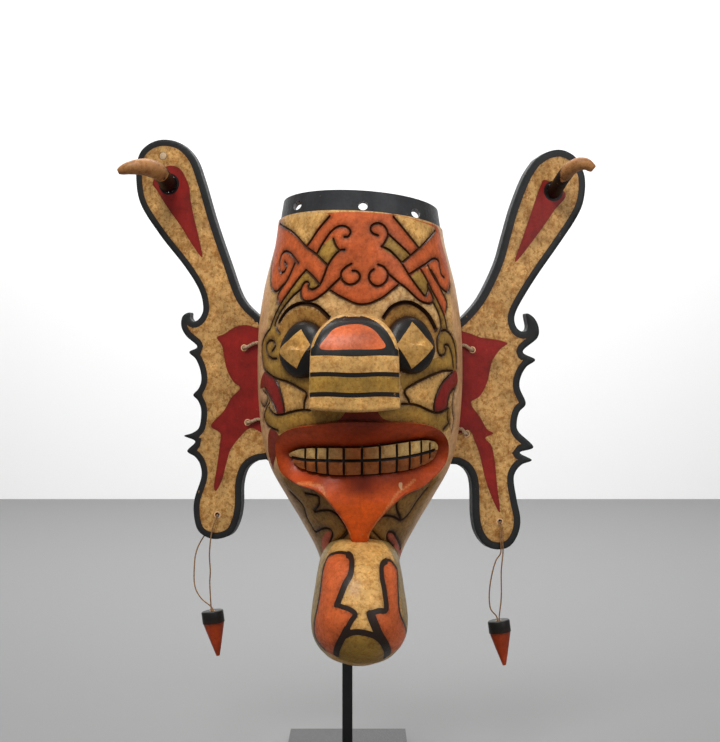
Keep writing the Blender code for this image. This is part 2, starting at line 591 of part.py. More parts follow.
def face_mesh():
    """Return the solid block of the face, with its carved front."""
    front = FaceFront()
    points, edges = [], []
    for line, closed in front.lines():
        start = len(points)
        points += [tuple(p) for p in line]
        edges += [(start + i, start + i + 1) for i in range(len(line) - 1)]
        if closed:
            edges.append((len(points) - 1, start))
    points += [tuple(p) for p in front.fill_points()]
    flat, _, triangles = delaunay_2d_cdt([Vector(p) for p in points], edges, [], 1, 1e-5)[:3]
    flat = np.array([(v.x, v.y) for v in flat])
    placed = face_surface(flat[:, 0], flat[:, 1], front.relief(flat))
    back = np.abs(np.abs(flat[:, 0]) - SIDE_ARC) < 1e-6
    placed[back, 1] = 0
    bm = bmesh.new()
    verts = [bm.verts.new(p) for p in placed]
    for triangle in triangles:
        bm.faces.new([verts[i] for i in triangle])
    chin = CHIN_Z * UNIT
    foot = sorted((i for i in range(len(flat)) if abs(flat[i, 1] - chin) < 1e-6), key=lambda i: flat[i, 0])
    top = [i for i in range(len(flat)) if abs(flat[i, 1] - rim_height(flat[i, 0])) < 1e-6]
    top.sort(key=lambda i: flat[i, 0])
    left = sorted(np.nonzero(back & (flat[:, 0] < 0))[0], key=lambda i: flat[i, 1])
    right = sorted(np.nonzero(back & (flat[:, 0] > 0))[0], key=lambda i: flat[i, 1])
    caps = (foot, top, left + right[::-1])
    made = [bm.faces.new([verts[i] for i in cap]) for cap in caps]
    bmesh.ops.triangulate(bm, faces=made)
    return mesh_from(bm, "face")


def u_ring(z, lift, behind, count=25):
    """Return one level of a block that fills the face's oval plan and runs out behind it."""
    arcs = np.linspace(-SIDE_ARC, SIDE_ARC, count)
    ring = [tuple(p) for p in face_surface(arcs, np.full_like(arcs, z), lift)]
    right, left = ring[-1], ring[0]
    return ring + [(right[0], behind, z), (left[0], behind, z)]


def oval_block(name, low, high, levels, lift, behind, count=25):
    """Return a cutter that follows the face's plain surface at a distance."""
    rings = [u_ring(z, lift, behind, count) for z in np.linspace(low, high, levels)]
    return loft(rings, name)


def nose_mesh():
    """Return the nose block: upright front with a round arch on top."""
    radius = NOSE_WIDTH / 2 / UNIT * 0.975
    top = NOSE_ARCH_Z + radius
    levels = [NOSE_BOTTOM_Z, NOSE_BOTTOM_Z + 2, -16, 2, NOSE_ARCH_Z]
    levels += [NOSE_ARCH_Z + radius * math.sin(a) for a in np.linspace(0, math.pi / 2, 9)[1:-1]]
    levels.append(top - 0.35)
    rings = []
    for z in levels:
        rise = max(0.0, z - NOSE_ARCH_Z) / radius
        arch = math.sqrt(max(0.0, 1 - rise * rise))
        half = radius * arch if rise > 0 else NOSE_WIDTH / 2 / UNIT * (1 - 0.025 * (z - NOSE_BOTTOM_Z)
                                                                       / (NOSE_ARCH_Z - NOSE_BOTTOM_Z))
        front = NOSE_ARCH_START + (NOSE_REACH / UNIT - NOSE_ARCH_START) * math.sqrt(
            max(0.0, 1 - (max(0.0, z) / top) ** 2))
        corner = NOSE_CORNER + (NOSE_ARCH_CORNER - NOSE_CORNER) * min(1.0, max(0.0, z) / 25)
        corner = min(corner, half * 0.8)
        foot = NOSE_SAG * (1 - (z - NOSE_BOTTOM_Z) / 20) if z < NOSE_BOTTOM_Z + 20 else 0.0
        ring = [(-half, NOSE_ROOT_DEPTH)]
        for a in np.linspace(0, math.pi / 2, 4):
            ring.append((-half + corner * (1 - math.cos(a)), front - NOSE_BULGE - corner * (1 - math.sin(a))))
        for share in (-0.45, 0.0, 0.45):
            ring.append((share * half, front - NOSE_BULGE * share ** 2))
        ring += [(-x, y) for x, y in reversed(ring[:5])]
        rings.append([((x + NOSE_X) * UNIT, -y * UNIT,
                       (z - foot * (1 - (x / max(half, 0.1)) ** 2)) * UNIT) for x, y in ring])
    return loft(rings, "nose")


def knob_mesh():
    """Return the egg-shaped knob that juts forward under the chin."""
    heights = np.interp(np.linspace(0, len(KNOB_PROFILE) - 1, 3 * len(KNOB_PROFILE) // 2),
                        range(len(KNOB_PROFILE)), [row[0] for row in KNOB_PROFILE])
    table = tuple(reversed(KNOB_PROFILE))
    rings = []
    for z in heights:
        half, front, back = (float(smooth_through(z, table, c)) for c in (1, 2, 3))
        middle, deep = (front + back) / 2, (front - back) / 2
        ring = []
        for a in np.linspace(0, 2 * math.pi, 22, endpoint=False):
            squash = (abs(math.cos(a)) ** 2.2 + abs(math.sin(a)) ** 2.2) ** (-1 / 2.2)
            ring.append(((KNOB_X + half * squash * math.cos(a)) * UNIT,
                         -(middle + deep * squash * math.sin(a)) * UNIT, z * UNIT))
        rings.append(ring)
    return loft(rings, "knob")


def cylinder(name, start, end, diameter, sides=16):
    """Return a round cutter or peg between two points."""
    start, end = Vector(start), Vector(end)
    bm = bmesh.new()
    turn = (end - start).to_track_quat("Z", "Y").to_matrix().to_4x4()
    place = Matrix.Translation((start + end) / 2) @ turn
    bmesh.ops.create_cone(bm, cap_ends=True, segments=sides, radius1=diameter / 2, radius2=diameter / 2,
                          depth=(end - start).length, matrix=place)
    return mesh_from(bm, name)


def box(name, low, high):
    """Return a box between two corners."""
    bm = bmesh.new()
    low, high = Vector(low), Vector(high)
    size = high - low
    place = Matrix.Translation((low + high) / 2) @ Matrix.Diagonal((size.x, size.y, size.z, 1))
    bmesh.ops.create_cube(bm, size=1, matrix=place)
    return mesh_from(bm, name)


def tube_mesh(name, centres, halves, sides=14):
    """Return a round closed form whose thickness changes along a smooth line."""
    line = smooth_path(np.column_stack([centres, halves]), 0.0085)
    rings = []
    normal = Vector((0, 0, 1))
    for i, row in enumerate(line):
        ahead, behind = line[min(i + 1, len(line) - 1)], line[max(i - 1, 0)]
        along = Vector(ahead[:3] - behind[:3]).normalized()
        normal = (normal - along * normal.dot(along)).normalized()
        other = along.cross(normal)
        half = float(row[3])
        turns = (2 * math.pi * step / sides for step in range(sides))
        rings.append([Vector(row[:3]) + half * (normal * math.cos(a) + other * math.sin(a)) for a in turns])
    return loft(rings, name)


def ear_root(side):
    """Return the corner where an ear's front face meets the mask's side."""
    return Vector((SIDES[side] * FACE_WIDTH / 2, -EAR_THICKNESS, 0))


def ear_matrix(side):
    """Return the place and turn of an ear board."""
    return (Matrix.Translation(mask_place() + ear_root(side))
            @ Matrix.Rotation(SIDES[side] * EAR_SWEEP, 4, "Z"))


def ear_plane(side, place):
    """Return a front-view point on an ear's front face, as (outwards, up) from its root."""
    across, up = abs(place[0] - VIEW_X), VIEW_Z - place[1]
    slope = math.tan(EAR_SWEEP)
    root_x, root_y = DRAWN_WIDTH / 2, -EAR_THICKNESS / UNIT
    x = across * (1 + (root_y - root_x * slope) / EYE_DISTANCE) / (1 - across * slope / EYE_DISTANCE)
    y = root_y + (x - root_x) * slope
    return (x - root_x) / math.cos(EAR_SWEEP) * UNIT, up * (1 + y / EYE_DISTANCE) * UNIT


def ear_point(side, place, behind=0.0):
    """Return a front-view point of an ear in the mask's frame, some way behind its front face."""
    out, up = ear_plane(side, place)
    turn = Matrix.Rotation(SIDES[side] * EAR_SWEEP, 4, "Z")
    return ear_root(side) + turn @ Vector((SIDES[side] * out, behind, up))


def ear_mesh(side):
    """Return an ear board as a slab with its sawn outline."""
    outline = smooth_path([ear_plane(side, p) for p in EAR_OUTLINES[side]], 0.008, closed=True)
    bm = bmesh.new()
    front = bm.faces.new([bm.verts.new((SIDES[side] * out, 0, up)) for out, up in outline])
    grown = bmesh.ops.extrude_face_region(bm, geom=[front])
    moved = [item for item in grown["geom"] if isinstance(item, bmesh.types.BMVert)]
    bmesh.ops.translate(bm, verts=moved, vec=(0, EAR_THICKNESS, 0))
    return mesh_from(bm, f"ear_{side}")


def through_ear(name, side, place, diameter):
    """Return a cutter for a hole straight through an ear board."""
    front, back = ear_point(side, place, -0.01), ear_point(side, place, EAR_THICKNESS + 0.01)
    return add_object(name, cylinder(name, front, back, diameter), None, Matrix.Translation(mask_place()))


def lashing_path(side, hole, wall_height):
    """Return the middle line of a twine that ties an ear board to the mask's side wall."""
    sign = SIDES[side]
    turn = Matrix.Rotation(sign * EAR_SWEEP, 4, "Z")
    throat = ear_point(side, hole)
    clear = LASHING_D / 2 + 2 * GAP
    steps = ((0, EAR_THICKNESS + LASHING_D), (0, LASHING_D * 0.6), (0, -LASHING_D * 0.1),
             (LASHING_D * 0.12, -LASHING_D * 0.45), (LASHING_D * 0.5, -clear))
    points = [throat + turn @ Vector((-sign * inward, behind, 0)) for inward, behind in steps]
    wall_z = (VIEW_Z - wall_height) * UNIT * 0.99
    y = lashing_level()
    wall_x = float(half_width(wall_z))
    entry = Vector((sign * (wall_x + 0.003), y, wall_z))
    inside_wall = Vector((sign * (wall_x - 0.004), y, wall_z))
    end = Vector((sign * (wall_x - WALL - LASHING_D), y, wall_z))
    return points + [points[-1].lerp(entry, 0.5), entry, inside_wall, end]


def lashing_level():
    """Return the y of a lashing where it goes into the mask's side wall."""
    return -EAR_THICKNESS - LASHING_D / 2 - GAP * 2


def cord_object(name, points, diameter, surface, spacing):
    """Return a round cord along a smooth line, as a curve with closed ends."""
    line = smooth_path([tuple(p) for p in points], spacing)
    curve = bpy.data.curves.new(name, "CURVE")
    curve.dimensions = "3D"
    curve.bevel_depth = diameter / 2
    curve.bevel_resolution = 1
    curve.use_fill_caps = True
    spline = curve.splines.new("POLY")
    spline.points.add(len(line) - 1)
    for point, where in zip(spline.points, line):
        point.co = (*where, 1)
    return add_object(name, curve, surface, Matrix.Translation(mask_place()))


def view_point(across, down, depth):
    """Return the point that the front view shows at a place and a known depth."""
    nearer = 1 + depth / EYE_DISTANCE
    return Vector(((across - VIEW_X) * nearer, depth, (VIEW_Z - down) * nearer)) * UNIT


def pendant_mesh():
    """Return a turned cone with a straight collar and a blind hole in its top."""
    rim = PENDANT_D / 2
    profile = [(rim * 0.94, 0), (rim, -0.0012), (rim, -PENDANT_COLLAR),
               (rim * 0.93, -PENDANT_COLLAR - 0.0004),
               (rim * 0.55, -PENDANT_LENGTH * 0.62), (rim * 0.12, -PENDANT_LENGTH * 0.985)]
    hole = PENDANT_HOLE_D / 2
    inner = [(hole, -PENDANT_HOLE_DEPTH), (hole, 0)]
    bm = bmesh.new()
    sides = 16
    rows = []
    for radius, z in inner + profile:
        rows.append([bm.verts.new((radius * math.cos(a), radius * math.sin(a), z))
                     for a in np.linspace(0, 2 * math.pi, sides, endpoint=False)])
    for low, high in zip(rows, rows[1:]):
        for i in range(sides):
            j = (i + 1) % sides
            bm.faces.new((low[i], low[j], high[j], high[i]))
    bm.faces.new(rows[0])
    bm.faces.new(rows[-1])
    return mesh_from(bm, "pendant")


def build_face(surface):
    """Make the face: carved front, nose and knob, hollow behind, holes and rod socket."""
    place = Matrix.Translation(mask_place())
    face = add_object("face", face_mesh(), surface, place)
    combine(face, "UNION", add_object("nose_form", nose_mesh(), None, place),
            add_object("knob_form", knob_mesh(), None, place))
    hollow = oval_block("hollow_form", HOLLOW_FLOOR_Z * UNIT, (RIM_Z + 20) * UNIT, 14, -WALL, 0.02, 21)
    socket = ROD_SIDE / 2 + GAP
    rod_x, rod_y, chin = ROD_X * UNIT, ROD_Y * UNIT, CHIN_Z * UNIT
    rod_hole = box("rod_hole", (rod_x - socket, rod_y - socket, chin - 0.02),
                   (rod_x + socket, rod_y + socket, chin + ROD_RECESS + GAP))
    combine(face, "DIFFERENCE", add_object("hollow_form", hollow, None, place),
            add_object("rod_hole", rod_hole, None, place))
    for number, place_seen in enumerate(RIM_HOLES, 1):
        arc, z = on_face([place_seen])[0]
        middle = Vector(face_surface(arc, z).tolist())
        along = rim_hole_way(arc)
        cut = cylinder("rim_hole", middle + along * 0.02, middle - along * 0.04, RIM_HOLE_D)
        combine(face, "DIFFERENCE", add_object(f"rim_hole_{number}", cut, None, place))
    for name, (side, _, wall_height) in LASHINGS.items():
        wall_z = (VIEW_Z - wall_height) * UNIT * 0.99
        x = SIDES[side] * float(half_width(wall_z))
        cut = cylinder("tie_hole", (x + SIDES[side] * 0.01, lashing_level(), wall_z),
                       (x - SIDES[side] * (WALL + 0.012), lashing_level(), wall_z), LASHING_HOLE_D, 12)
        combine(face, "DIFFERENCE", add_object(f"tie_hole_{name}", cut, None, place))
    return face


def build_ears(surface, tusk_surface, plug_surface):
    """Make the ear boards, their tusks and the plug, each seated in its own hole."""
    place = Matrix.Translation(mask_place())
    form = oval_block("side_wall_form", (CHIN_Z - 5) * UNIT, (RIM_Z + 5) * UNIT, 40, GAP * 1.7, 0.04, 65)
    envelope = add_object("side_wall_form", form, None, place)
    for side in SIDES:
        ear = add_object(f"ear_{side}", ear_mesh(side), surface, ear_matrix(side))
        combine(ear, "DIFFERENCE", envelope)
        combine(ear, "DIFFERENCE", through_ear(f"lobe_hole_{side}", side, LOBE_HOLES[side], LOBE_HOLE_D))
        for name, (lashed, hole, _) in LASHINGS.items():
            if lashed == side:
                combine(ear, "DIFFERENCE", through_ear(f"lashing_hole_{name}", side, hole, LASHING_HOLE_D))
        line = TUSK_LINES[side]
        root = ear_point(side, TUSK_ROOTS[side])
        root_d = 2 * line[0][3] * UNIT
        combine(ear, "DIFFERENCE", through_ear(f"tusk_hole_{side}", side, TUSK_ROOTS[side], root_d + 2 * GAP))
        depths = (EAR_THICKNESS, 0.001, -0.004)
        centres = [ear_point(side, TUSK_ROOTS[side], depth) for depth in depths]
        centres += [root + Vector((SIDES[side] * out, -forward, up)) * UNIT
                    for out, forward, up, _ in line[1:]]
        halves = [root_d / 2 * 0.97] * len(depths) + [half * UNIT for *_, half in line[1:]]
        add_object(f"tusk_{side}", tube_mesh(f"tusk_{side}", centres, halves), tusk_surface, place)
    combine(bpy.data.objects["ear_left"], "DIFFERENCE",
            through_ear("plug_hole", "left", PLUG_PLACE, PLUG_D + 2 * GAP))
    plug = cylinder("ear_plug", ear_point("left", PLUG_PLACE, -0.0002),
                    ear_point("left", PLUG_PLACE, EAR_THICKNESS), PLUG_D)
    add_object("ear_plug", plug, plug_surface, place)


def build_hangings(twine, fibre, wood):
    """Make the lashings that tie the ears on, and the pendants on their twines."""
    for name, (side, hole, wall_height) in LASHINGS.items():
        cord_object(f"lashing_{name}", lashing_path(side, hole, wall_height), LASHING_D, fibre, 0.0045)
    for side in SIDES:
        top = view_point(*PENDANT_PLACES[side], PENDANT_DEPTH)
        turn = Matrix.Rotation(-PENDANT_TILT, 4, "Y")
        add_object(f"pendant_{side}", pendant_mesh(), wood,
                   Matrix.Translation(mask_place() + top) @ turn)
        cord_object(f"pendant_twine_{side}", [view_point(*row) for row in TWINE_ROUTES[side]],
                    TWINE_D, twine, 0.0052)


def build_stand(surface):
    """Make the square rod and the flat base that it stands in."""
    half = ROD_SIDE / 2
    top = mask_place().z + CHIN_Z * UNIT + ROD_RECESS
    foot = BASE_THICKNESS - ROD_MORTISE
    add_object("stand_rod", box("stand_rod", (-half, -half, foot + GAP), (half, half, top)), surface)
    base = add_object("stand_base", box("stand_base", (-BASE_WIDTH / 2, -BASE_DEPTH / 2, 0),
                                        (BASE_WIDTH / 2, BASE_DEPTH / 2, BASE_THICKNESS)), surface)
    snug = half + GAP
    mortise = box("mortise", (-snug, -snug, foot), (snug, snug, BASE_THICKNESS + 0.01))
    combine(base, "DIFFERENCE", add_object("mortise", mortise))


def main():
    """Clear the scene and build the mask on its stand."""
    for obj in list(bpy.data.objects):
        bpy.data.objects.remove(obj, do_unlink=True)
    surfaces = {name: material(name) for name in COLOURS}
    build_face(surfaces["face_wood"])
    build_ears(surfaces["ear_wood"], surfaces["tusk_wood"], surfaces["plug_wood"])
    build_hangings(surfaces["twine"], surfaces["lashing_fibre"], surfaces["pendant_wood"])
    build_stand(surfaces["stand_black"])


main()
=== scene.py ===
"""Scene of a carved hudoq mask with board ears, on a rod stand. Metres, +Z up, the mask looks along -Y."""

import json
import logging
import math
from dataclasses import dataclass, field
from enum import Enum

import bmesh
import bpy
import numpy as np
from mathutils import Matrix, Vector
from mathutils.geometry import delaunay_2d_cdt
from mathutils.kdtree import KDTree

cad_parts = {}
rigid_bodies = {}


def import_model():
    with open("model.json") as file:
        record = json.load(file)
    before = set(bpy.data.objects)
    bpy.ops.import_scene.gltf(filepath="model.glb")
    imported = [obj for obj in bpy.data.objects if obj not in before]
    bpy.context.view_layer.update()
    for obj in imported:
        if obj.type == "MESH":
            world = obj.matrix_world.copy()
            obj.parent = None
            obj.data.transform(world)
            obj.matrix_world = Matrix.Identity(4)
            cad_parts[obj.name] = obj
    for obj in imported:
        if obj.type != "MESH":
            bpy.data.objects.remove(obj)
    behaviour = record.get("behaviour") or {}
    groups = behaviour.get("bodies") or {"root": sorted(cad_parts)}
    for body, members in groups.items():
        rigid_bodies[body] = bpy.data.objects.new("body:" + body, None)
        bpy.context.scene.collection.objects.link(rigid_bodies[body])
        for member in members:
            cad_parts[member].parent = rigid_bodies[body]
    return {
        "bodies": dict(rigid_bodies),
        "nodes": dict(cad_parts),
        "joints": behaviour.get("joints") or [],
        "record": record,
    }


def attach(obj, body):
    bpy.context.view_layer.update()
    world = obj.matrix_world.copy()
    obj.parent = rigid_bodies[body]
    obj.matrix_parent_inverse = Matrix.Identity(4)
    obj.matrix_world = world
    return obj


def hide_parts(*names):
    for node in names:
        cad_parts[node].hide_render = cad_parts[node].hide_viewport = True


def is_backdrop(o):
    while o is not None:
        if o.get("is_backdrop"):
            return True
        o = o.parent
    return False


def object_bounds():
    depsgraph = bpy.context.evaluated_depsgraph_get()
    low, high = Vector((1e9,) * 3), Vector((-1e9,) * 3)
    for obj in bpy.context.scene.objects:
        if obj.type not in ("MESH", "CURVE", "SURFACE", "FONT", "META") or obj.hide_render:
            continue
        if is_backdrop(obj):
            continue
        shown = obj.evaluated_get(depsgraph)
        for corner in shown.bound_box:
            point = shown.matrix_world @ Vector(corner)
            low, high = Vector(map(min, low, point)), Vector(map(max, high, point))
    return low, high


LOG = logging.getLogger("mask_scene")
Array = np.ndarray
Line = tuple[np.ndarray, bool]

# Driving dimensions of the face
MASK_HEIGHT = 0.446
FACE_WIDTH = 0.202
FACE_DEPTH = 0.115
WALL = 0.012
RIM_BAND = 0.0195
RIM_REBATE = 0.002
RIM_HOLE_D = 0.009
EYE_D = 0.054
EYE_RISE = 0.012
SOCKET_SINK = 0.004
NOSE_WIDTH = 0.082
NOSE_REACH = 0.165
LIP_RISE = 0.010
LIP_CORNER_SHARE = 0.6
KEEL_RISE = 0.015
TEETH_SINK = 0.006
TEETH_RISE = 0.004
GROOVE_W = 0.0026
GROOVE_DEPTH = 0.0016

# Driving dimensions of the ears and of what hangs on them
EAR_THICKNESS = 0.012
EAR_SWEEP = math.radians(12.0)
LASHING_D = 0.0035
LASHING_HOLE_D = 0.0045
LOBE_HOLE_D = 0.0048
PLUG_D = 0.0075
TWINE_D = 0.0014
PENDANT_D = 0.022
PENDANT_LENGTH = 0.046
PENDANT_COLLAR = 0.012
PENDANT_HOLE_D = 0.0046
PENDANT_HOLE_DEPTH = 0.006
PENDANT_TILT = math.radians(7.5)

# Driving dimensions of the stand
ROD_SIDE = 0.010
ROD_RECESS = 0.080
STAND_RISE = 0.178
GAP = 0.0003

# The front view: where an eye on the axis sees a point, in drawn millimetres
EYE_DISTANCE = 1500.0
VIEW_X = 360.0
VIEW_Z = 371.0
DRAWN_HEIGHT = 446.0
DRAWN_WIDTH = 202.0
DRAWN_DEPTH = 115.0
UNIT = MASK_HEIGHT / DRAWN_HEIGHT
WIDE = FACE_WIDTH / (DRAWN_WIDTH * UNIT)
DEEP = FACE_DEPTH / (DRAWN_DEPTH * UNIT)

# The face's plan is an oval that runs past its widest place to the back edge
SIDE_ANGLE = math.radians(100.0)
BACK_SHIFT = -math.cos(SIDE_ANGLE)
ARC_RADIUS = 0.105 * UNIT / 0.001
SIDE_ARC = SIDE_ANGLE * ARC_RADIUS

# Height, half width and depth of the face, in drawn millimetres
FACE_PROFILE = (
    (-205, 37.0, 70), (-184, 40.0, 76), (-150, 56.5, 88), (-124, 72.0, 97), (-94, 88.5, 105),
    (-69, 95.5, 109), (-30, 100.0, 113), (10, 101.0, 115), (50, 99.0, 115), (80, 94.5, 114),
    (131, 82.5, 110), (150, 80.0, 107), (175, 75.8, 103),
)
CHIN_Z = -205.0
RIM_Z = 168.4
RIM_PITCH = math.tan(math.radians(4.5))
RIM_ROLL = math.tan(math.radians(3.3))
HOLLOW_FLOOR_Z = -108.0

# Places in the front view, as (across, down)
EYE_PLACES = ((302.0, 349.5), (411.5, 345.0))
RIM_HOLES = ((297.0, 204.5), (363.0, 205.0), (416.0, 212.5))
RIM_HOLE_DIP = math.radians(7.0)
RIM_HOLE_FAN = 0.08

BROW_STROKES = (
    ((279, 322), (287, 310.5), (297, 304.5), (306, 303.5), (316, 306), (323, 311.5), (328.5, 317)),
    ((384, 317), (391, 308), (401, 303), (411, 303), (421, 308), (430, 317), (436.5, 329.5)),
)
FOREHEAD_STROKES = (
    ((279.5, 224), (288, 229.5), (296, 236), (306, 247), (316, 254.5), (327.5, 265.5)),
    ((329.5, 216), (318, 229.5), (307, 245.5)),
    ((316, 254.5), (322, 244), (330, 232.5), (338, 226.5), (346, 226.8), (350.5, 231.5), (348, 236.5),
     (344, 237)),
    ((344.5, 249.8), (339.5, 250.5), (333, 257), (327.5, 265.5), (323.5, 276), (319.5, 284.5),
     (313, 289.3), (308, 288), (308.5, 283.5), (305.5, 281.8), (302, 285.5), (300.3, 292),
     (301.3, 298.5), (306, 301.5), (314, 299.7), (324, 293), (333, 284.5), (341, 277)),
    ((333, 238.5), (335.5, 245.5), (339.5, 250.5)),
    ((305.5, 270), (312, 276), (319.5, 284.5)),
    ((298, 263.5), (293, 257), (288, 252.2), (283.5, 251.8), (280.3, 257), (279, 264), (278.7, 270),
     (281, 273), (284.5, 270.5), (286, 265.5), (284, 261.8)),
    ((294.5, 263), (287, 279.6), (280, 290), (277.2, 296), (277.6, 304)),
    ((305.5, 270), (297, 280), (289, 291), (282, 301), (276, 312), (272.3, 321), (269.5, 329)),
    ((300.3, 289.5), (292.5, 296), (286, 303.5), (280, 312), (276.3, 320), (274.8, 326), (278.5, 333)),
    ((276, 238), (273, 255), (270.5, 272), (270.3, 283), (271.8, 289.5), (274.8, 291.6), (278, 290),
     (283, 284.5)),
    ((330, 290.5), (338, 295.5), (346.5, 299.8), (355, 303.6), (363, 304.6), (372, 302.8),
     (383, 297.5), (392, 290.6), (400.4, 283.7)),
    ((351.5, 263.8), (346, 266.9), (341.5, 271.5), (340.8, 276.8), (343.3, 281.6), (348.4, 284.5),
     (354.5, 283.7), (359, 279.9), (359.9, 275.3), (356.8, 271.5), (352.2, 270.7)),
    ((378, 264.5), (384, 267), (388, 273), (386.5, 281), (380, 286), (373.5, 285), (369.3, 279.5),
     (370, 273), (374, 269.3)),
    ((378.5, 235.5), (373.5, 233.8), (370.5, 229.5), (372.5, 225), (378.5, 223.2), (384.5, 226),
     (387.7, 231.5), (387.6, 237.5), (382.6, 246.2)),
    ((389, 234.5), (398, 242.6), (406, 250), (411.3, 255.6)),
    ((393.6, 216.5), (405, 230), (419.6, 248)),
    ((435.8, 230.8), (428, 240), (419.6, 248.3), (412, 254.8), (403, 262.3)),
    ((381.5, 246.3), (389, 249.8), (396, 256), (402, 263), (408.5, 273.5), (414, 281.5),
     (420, 289.5), (425.8, 296), (428.3, 291), (428.3, 284.5)),
    ((388.5, 274), (394.3, 278.6), (400, 283.5), (407, 288.6), (413.2, 294.6), (419.6, 300.2),
     (425.5, 303), (431, 303.6), (433.8, 300.5), (432.3, 294.5), (428.8, 287.5)),
    ((433.5, 302), (437.8, 310.7), (440.6, 319), (441.5, 327), (440.5, 332)),
    ((421, 268.5), (427.5, 280), (432, 289.5), (437.8, 300), (441.5, 308), (444.8, 316), (447.8, 330)),
    ((431.5, 270), (437.8, 280.5), (441.5, 289.8), (445.3, 297), (447.5, 304), (446.3, 312)),
    ((410.4, 274), (420.3, 267.8), (428.8, 262.3), (432.5, 259.5), (436.4, 258.7), (439.5, 262),
     (440.3, 268), (442, 274.5), (444.8, 277.5)),
    ((428.5, 265.5), (433.3, 275.3), (438.7, 283.9), (443.5, 289.5), (448.4, 292.2), (450.5, 286)),
)
CHEEK_STROKES = (
    ((269.5, 329), (264.6, 335.7), (262, 343.3), (261.4, 353), (262.7, 364.4), (265.3, 371.3),
     (275.5, 378.3), (287, 382), (297.2, 387.2), (306, 393.6), (304.2, 402), (303.6, 410.2)),
    ((271.6, 351), (274.8, 345.9), (272.9, 341.4), (269, 340.8), (266.3, 345), (266.2, 350.4),
     (267.8, 355.5), (271.6, 358.6), (276, 358.6)),
    ((310, 410.5), (301, 410.2), (290.8, 412), (281.9, 414.6), (274.9, 414.6), (270.4, 410.8),
     (268.5, 407.6)),
    ((265.3, 371.3), (271, 375.7), (276.8, 382.8), (280.6, 394.2), (283.2, 405.7), (283.8, 414)),
    ((264.7, 388.5), (271, 400.6), (275.5, 411)),
    ((264, 417.2), (266, 423.6), (270.4, 427.4), (277.4, 430.6)),
    ((442, 331), (446.2, 330.4), (451.1, 334.6), (454.6, 343), (456.5, 354.2), (457, 368)),
    ((440.5, 332), (438.2, 340), (438.3, 350.5), (441, 355.6), (444.8, 354.5), (446.2, 350),
     (445, 345.5), (449, 345.5), (452.5, 355.6), (453.9, 368.2)),
    ((453.5, 371), (443.6, 371.2), (429.6, 376.3), (415.6, 383.3), (405, 391), (408.6, 400),
     (410, 404)),
    ((402, 404), (410, 404), (419, 405.8), (429.6, 410.7), (436.7, 412.8), (443.7, 411.4),
     (448.6, 407.9)),
    ((453.5, 371.5), (443.7, 381.9), (437.4, 393.9), (434.6, 405), (434.8, 411.5)),
    ((454.9, 388.2), (450.7, 393.2), (448.6, 400.2), (447.9, 407.9)),
    ((449.3, 422.6), (443.7, 429.6)),
)
JAW_STROKES = (
    ((290, 492), (296.9, 498.9), (303.2, 507), (306.6, 517.9), (311.2, 525.9), (314.7, 531.6),
     (321, 528.8), (326.7, 528.2), (331.3, 531), (331.9, 535.6), (329, 543.7)),
    ((304.3, 493), (317, 495.5), (318.7, 499.5), (318.1, 505.2), (313.5, 511.5), (322.1, 510.4),
     (329, 510.4), (335.3, 513.3), (340.5, 519), (345, 526)),
    ((428, 488), (423.4, 493.2), (415.4, 504), (409, 514), (401.6, 520), (393.6, 516.7),
     (385.6, 515.6), (380, 517.5)),
    ((398, 499), (397, 508.7), (401.6, 520)),
    ((401, 549), (397, 537.4), (393, 532), (388, 533), (387.9, 539.7), (393.6, 546)),
)
LIP_OUTLINE = (
    (280.5, 446), (283.3, 436), (290, 430.5), (301, 426.3), (320, 423.6), (338, 421), (362, 420.5),
    (387, 421.5), (410, 422), (428, 425.8), (438.5, 432.8), (443.6, 445), (441, 462), (430, 476.5),
    (416, 488.7), (402.3, 494.8), (390, 505), (378.5, 518.5), (370, 532), (366.5, 542.5), (353.5, 542.5),
    (348, 528.5), (339.5, 513.2), (330.3, 500.9), (319.6, 491.7), (302, 485.2), (286, 471.5),
)
MOUTH_OUTLINE = (
    (286, 453.5), (295, 448.5), (307, 446.8), (335, 446.6), (362, 446.4), (390, 443.5),
    (410, 440.5), (429, 438.8), (438.5, 441.5), (440.6, 449), (434.5, 461), (420, 468.5), (401, 473),
    (362.5, 476.4), (330, 476.4), (301, 470.5), (290.5, 462),
)
MOUTH_LINE = ((289, 457.5), (303, 460), (330, 461), (362, 461), (390, 459.5), (415, 456), (438, 450))
TOOTH_GAPS = (302.8, 314.2, 326.0, 343.0, 362.0, 380.8, 398.5, 412.0, 424.0, 433.0)
TOOTH_GAP_ENDS = (
    (448.5, 469.5), (448, 472.5), (448, 475), (448, 475.5), (448, 475.5), (446, 474.5),
    (444.5, 472.5), (442, 469.5), (441, 464.5), (442.5, 459),
)

# The nose block, in drawn millimetres
NOSE_X = -4.9
NOSE_ARCH_Z = 14.0
NOSE_BOTTOM_Z = -34.0
NOSE_SAG = 3.0
NOSE_ARCH_START = 118.0
NOSE_BULGE = 4.0

# The knob under the chin: height, half width, front and back, in drawn millimetres
KNOB_PROFILE = (
    (-158, 15.0, 82, 52), (-161, 23.5, 91, 42), (-167, 31.0, 103, 33), (-176, 36.5, 118, 27),
    (-188, 39.5, 131, 25), (-204, 42.0, 142, 24), (-220, 44.5, 148, 24), (-236, 45.5, 149, 26),
    (-250, 43.0, 143, 33), (-262, 35.5, 129, 45), (-271, 24.0, 112, 62), (-276, 10.0, 97, 80),
)
KNOB_X = -0.5

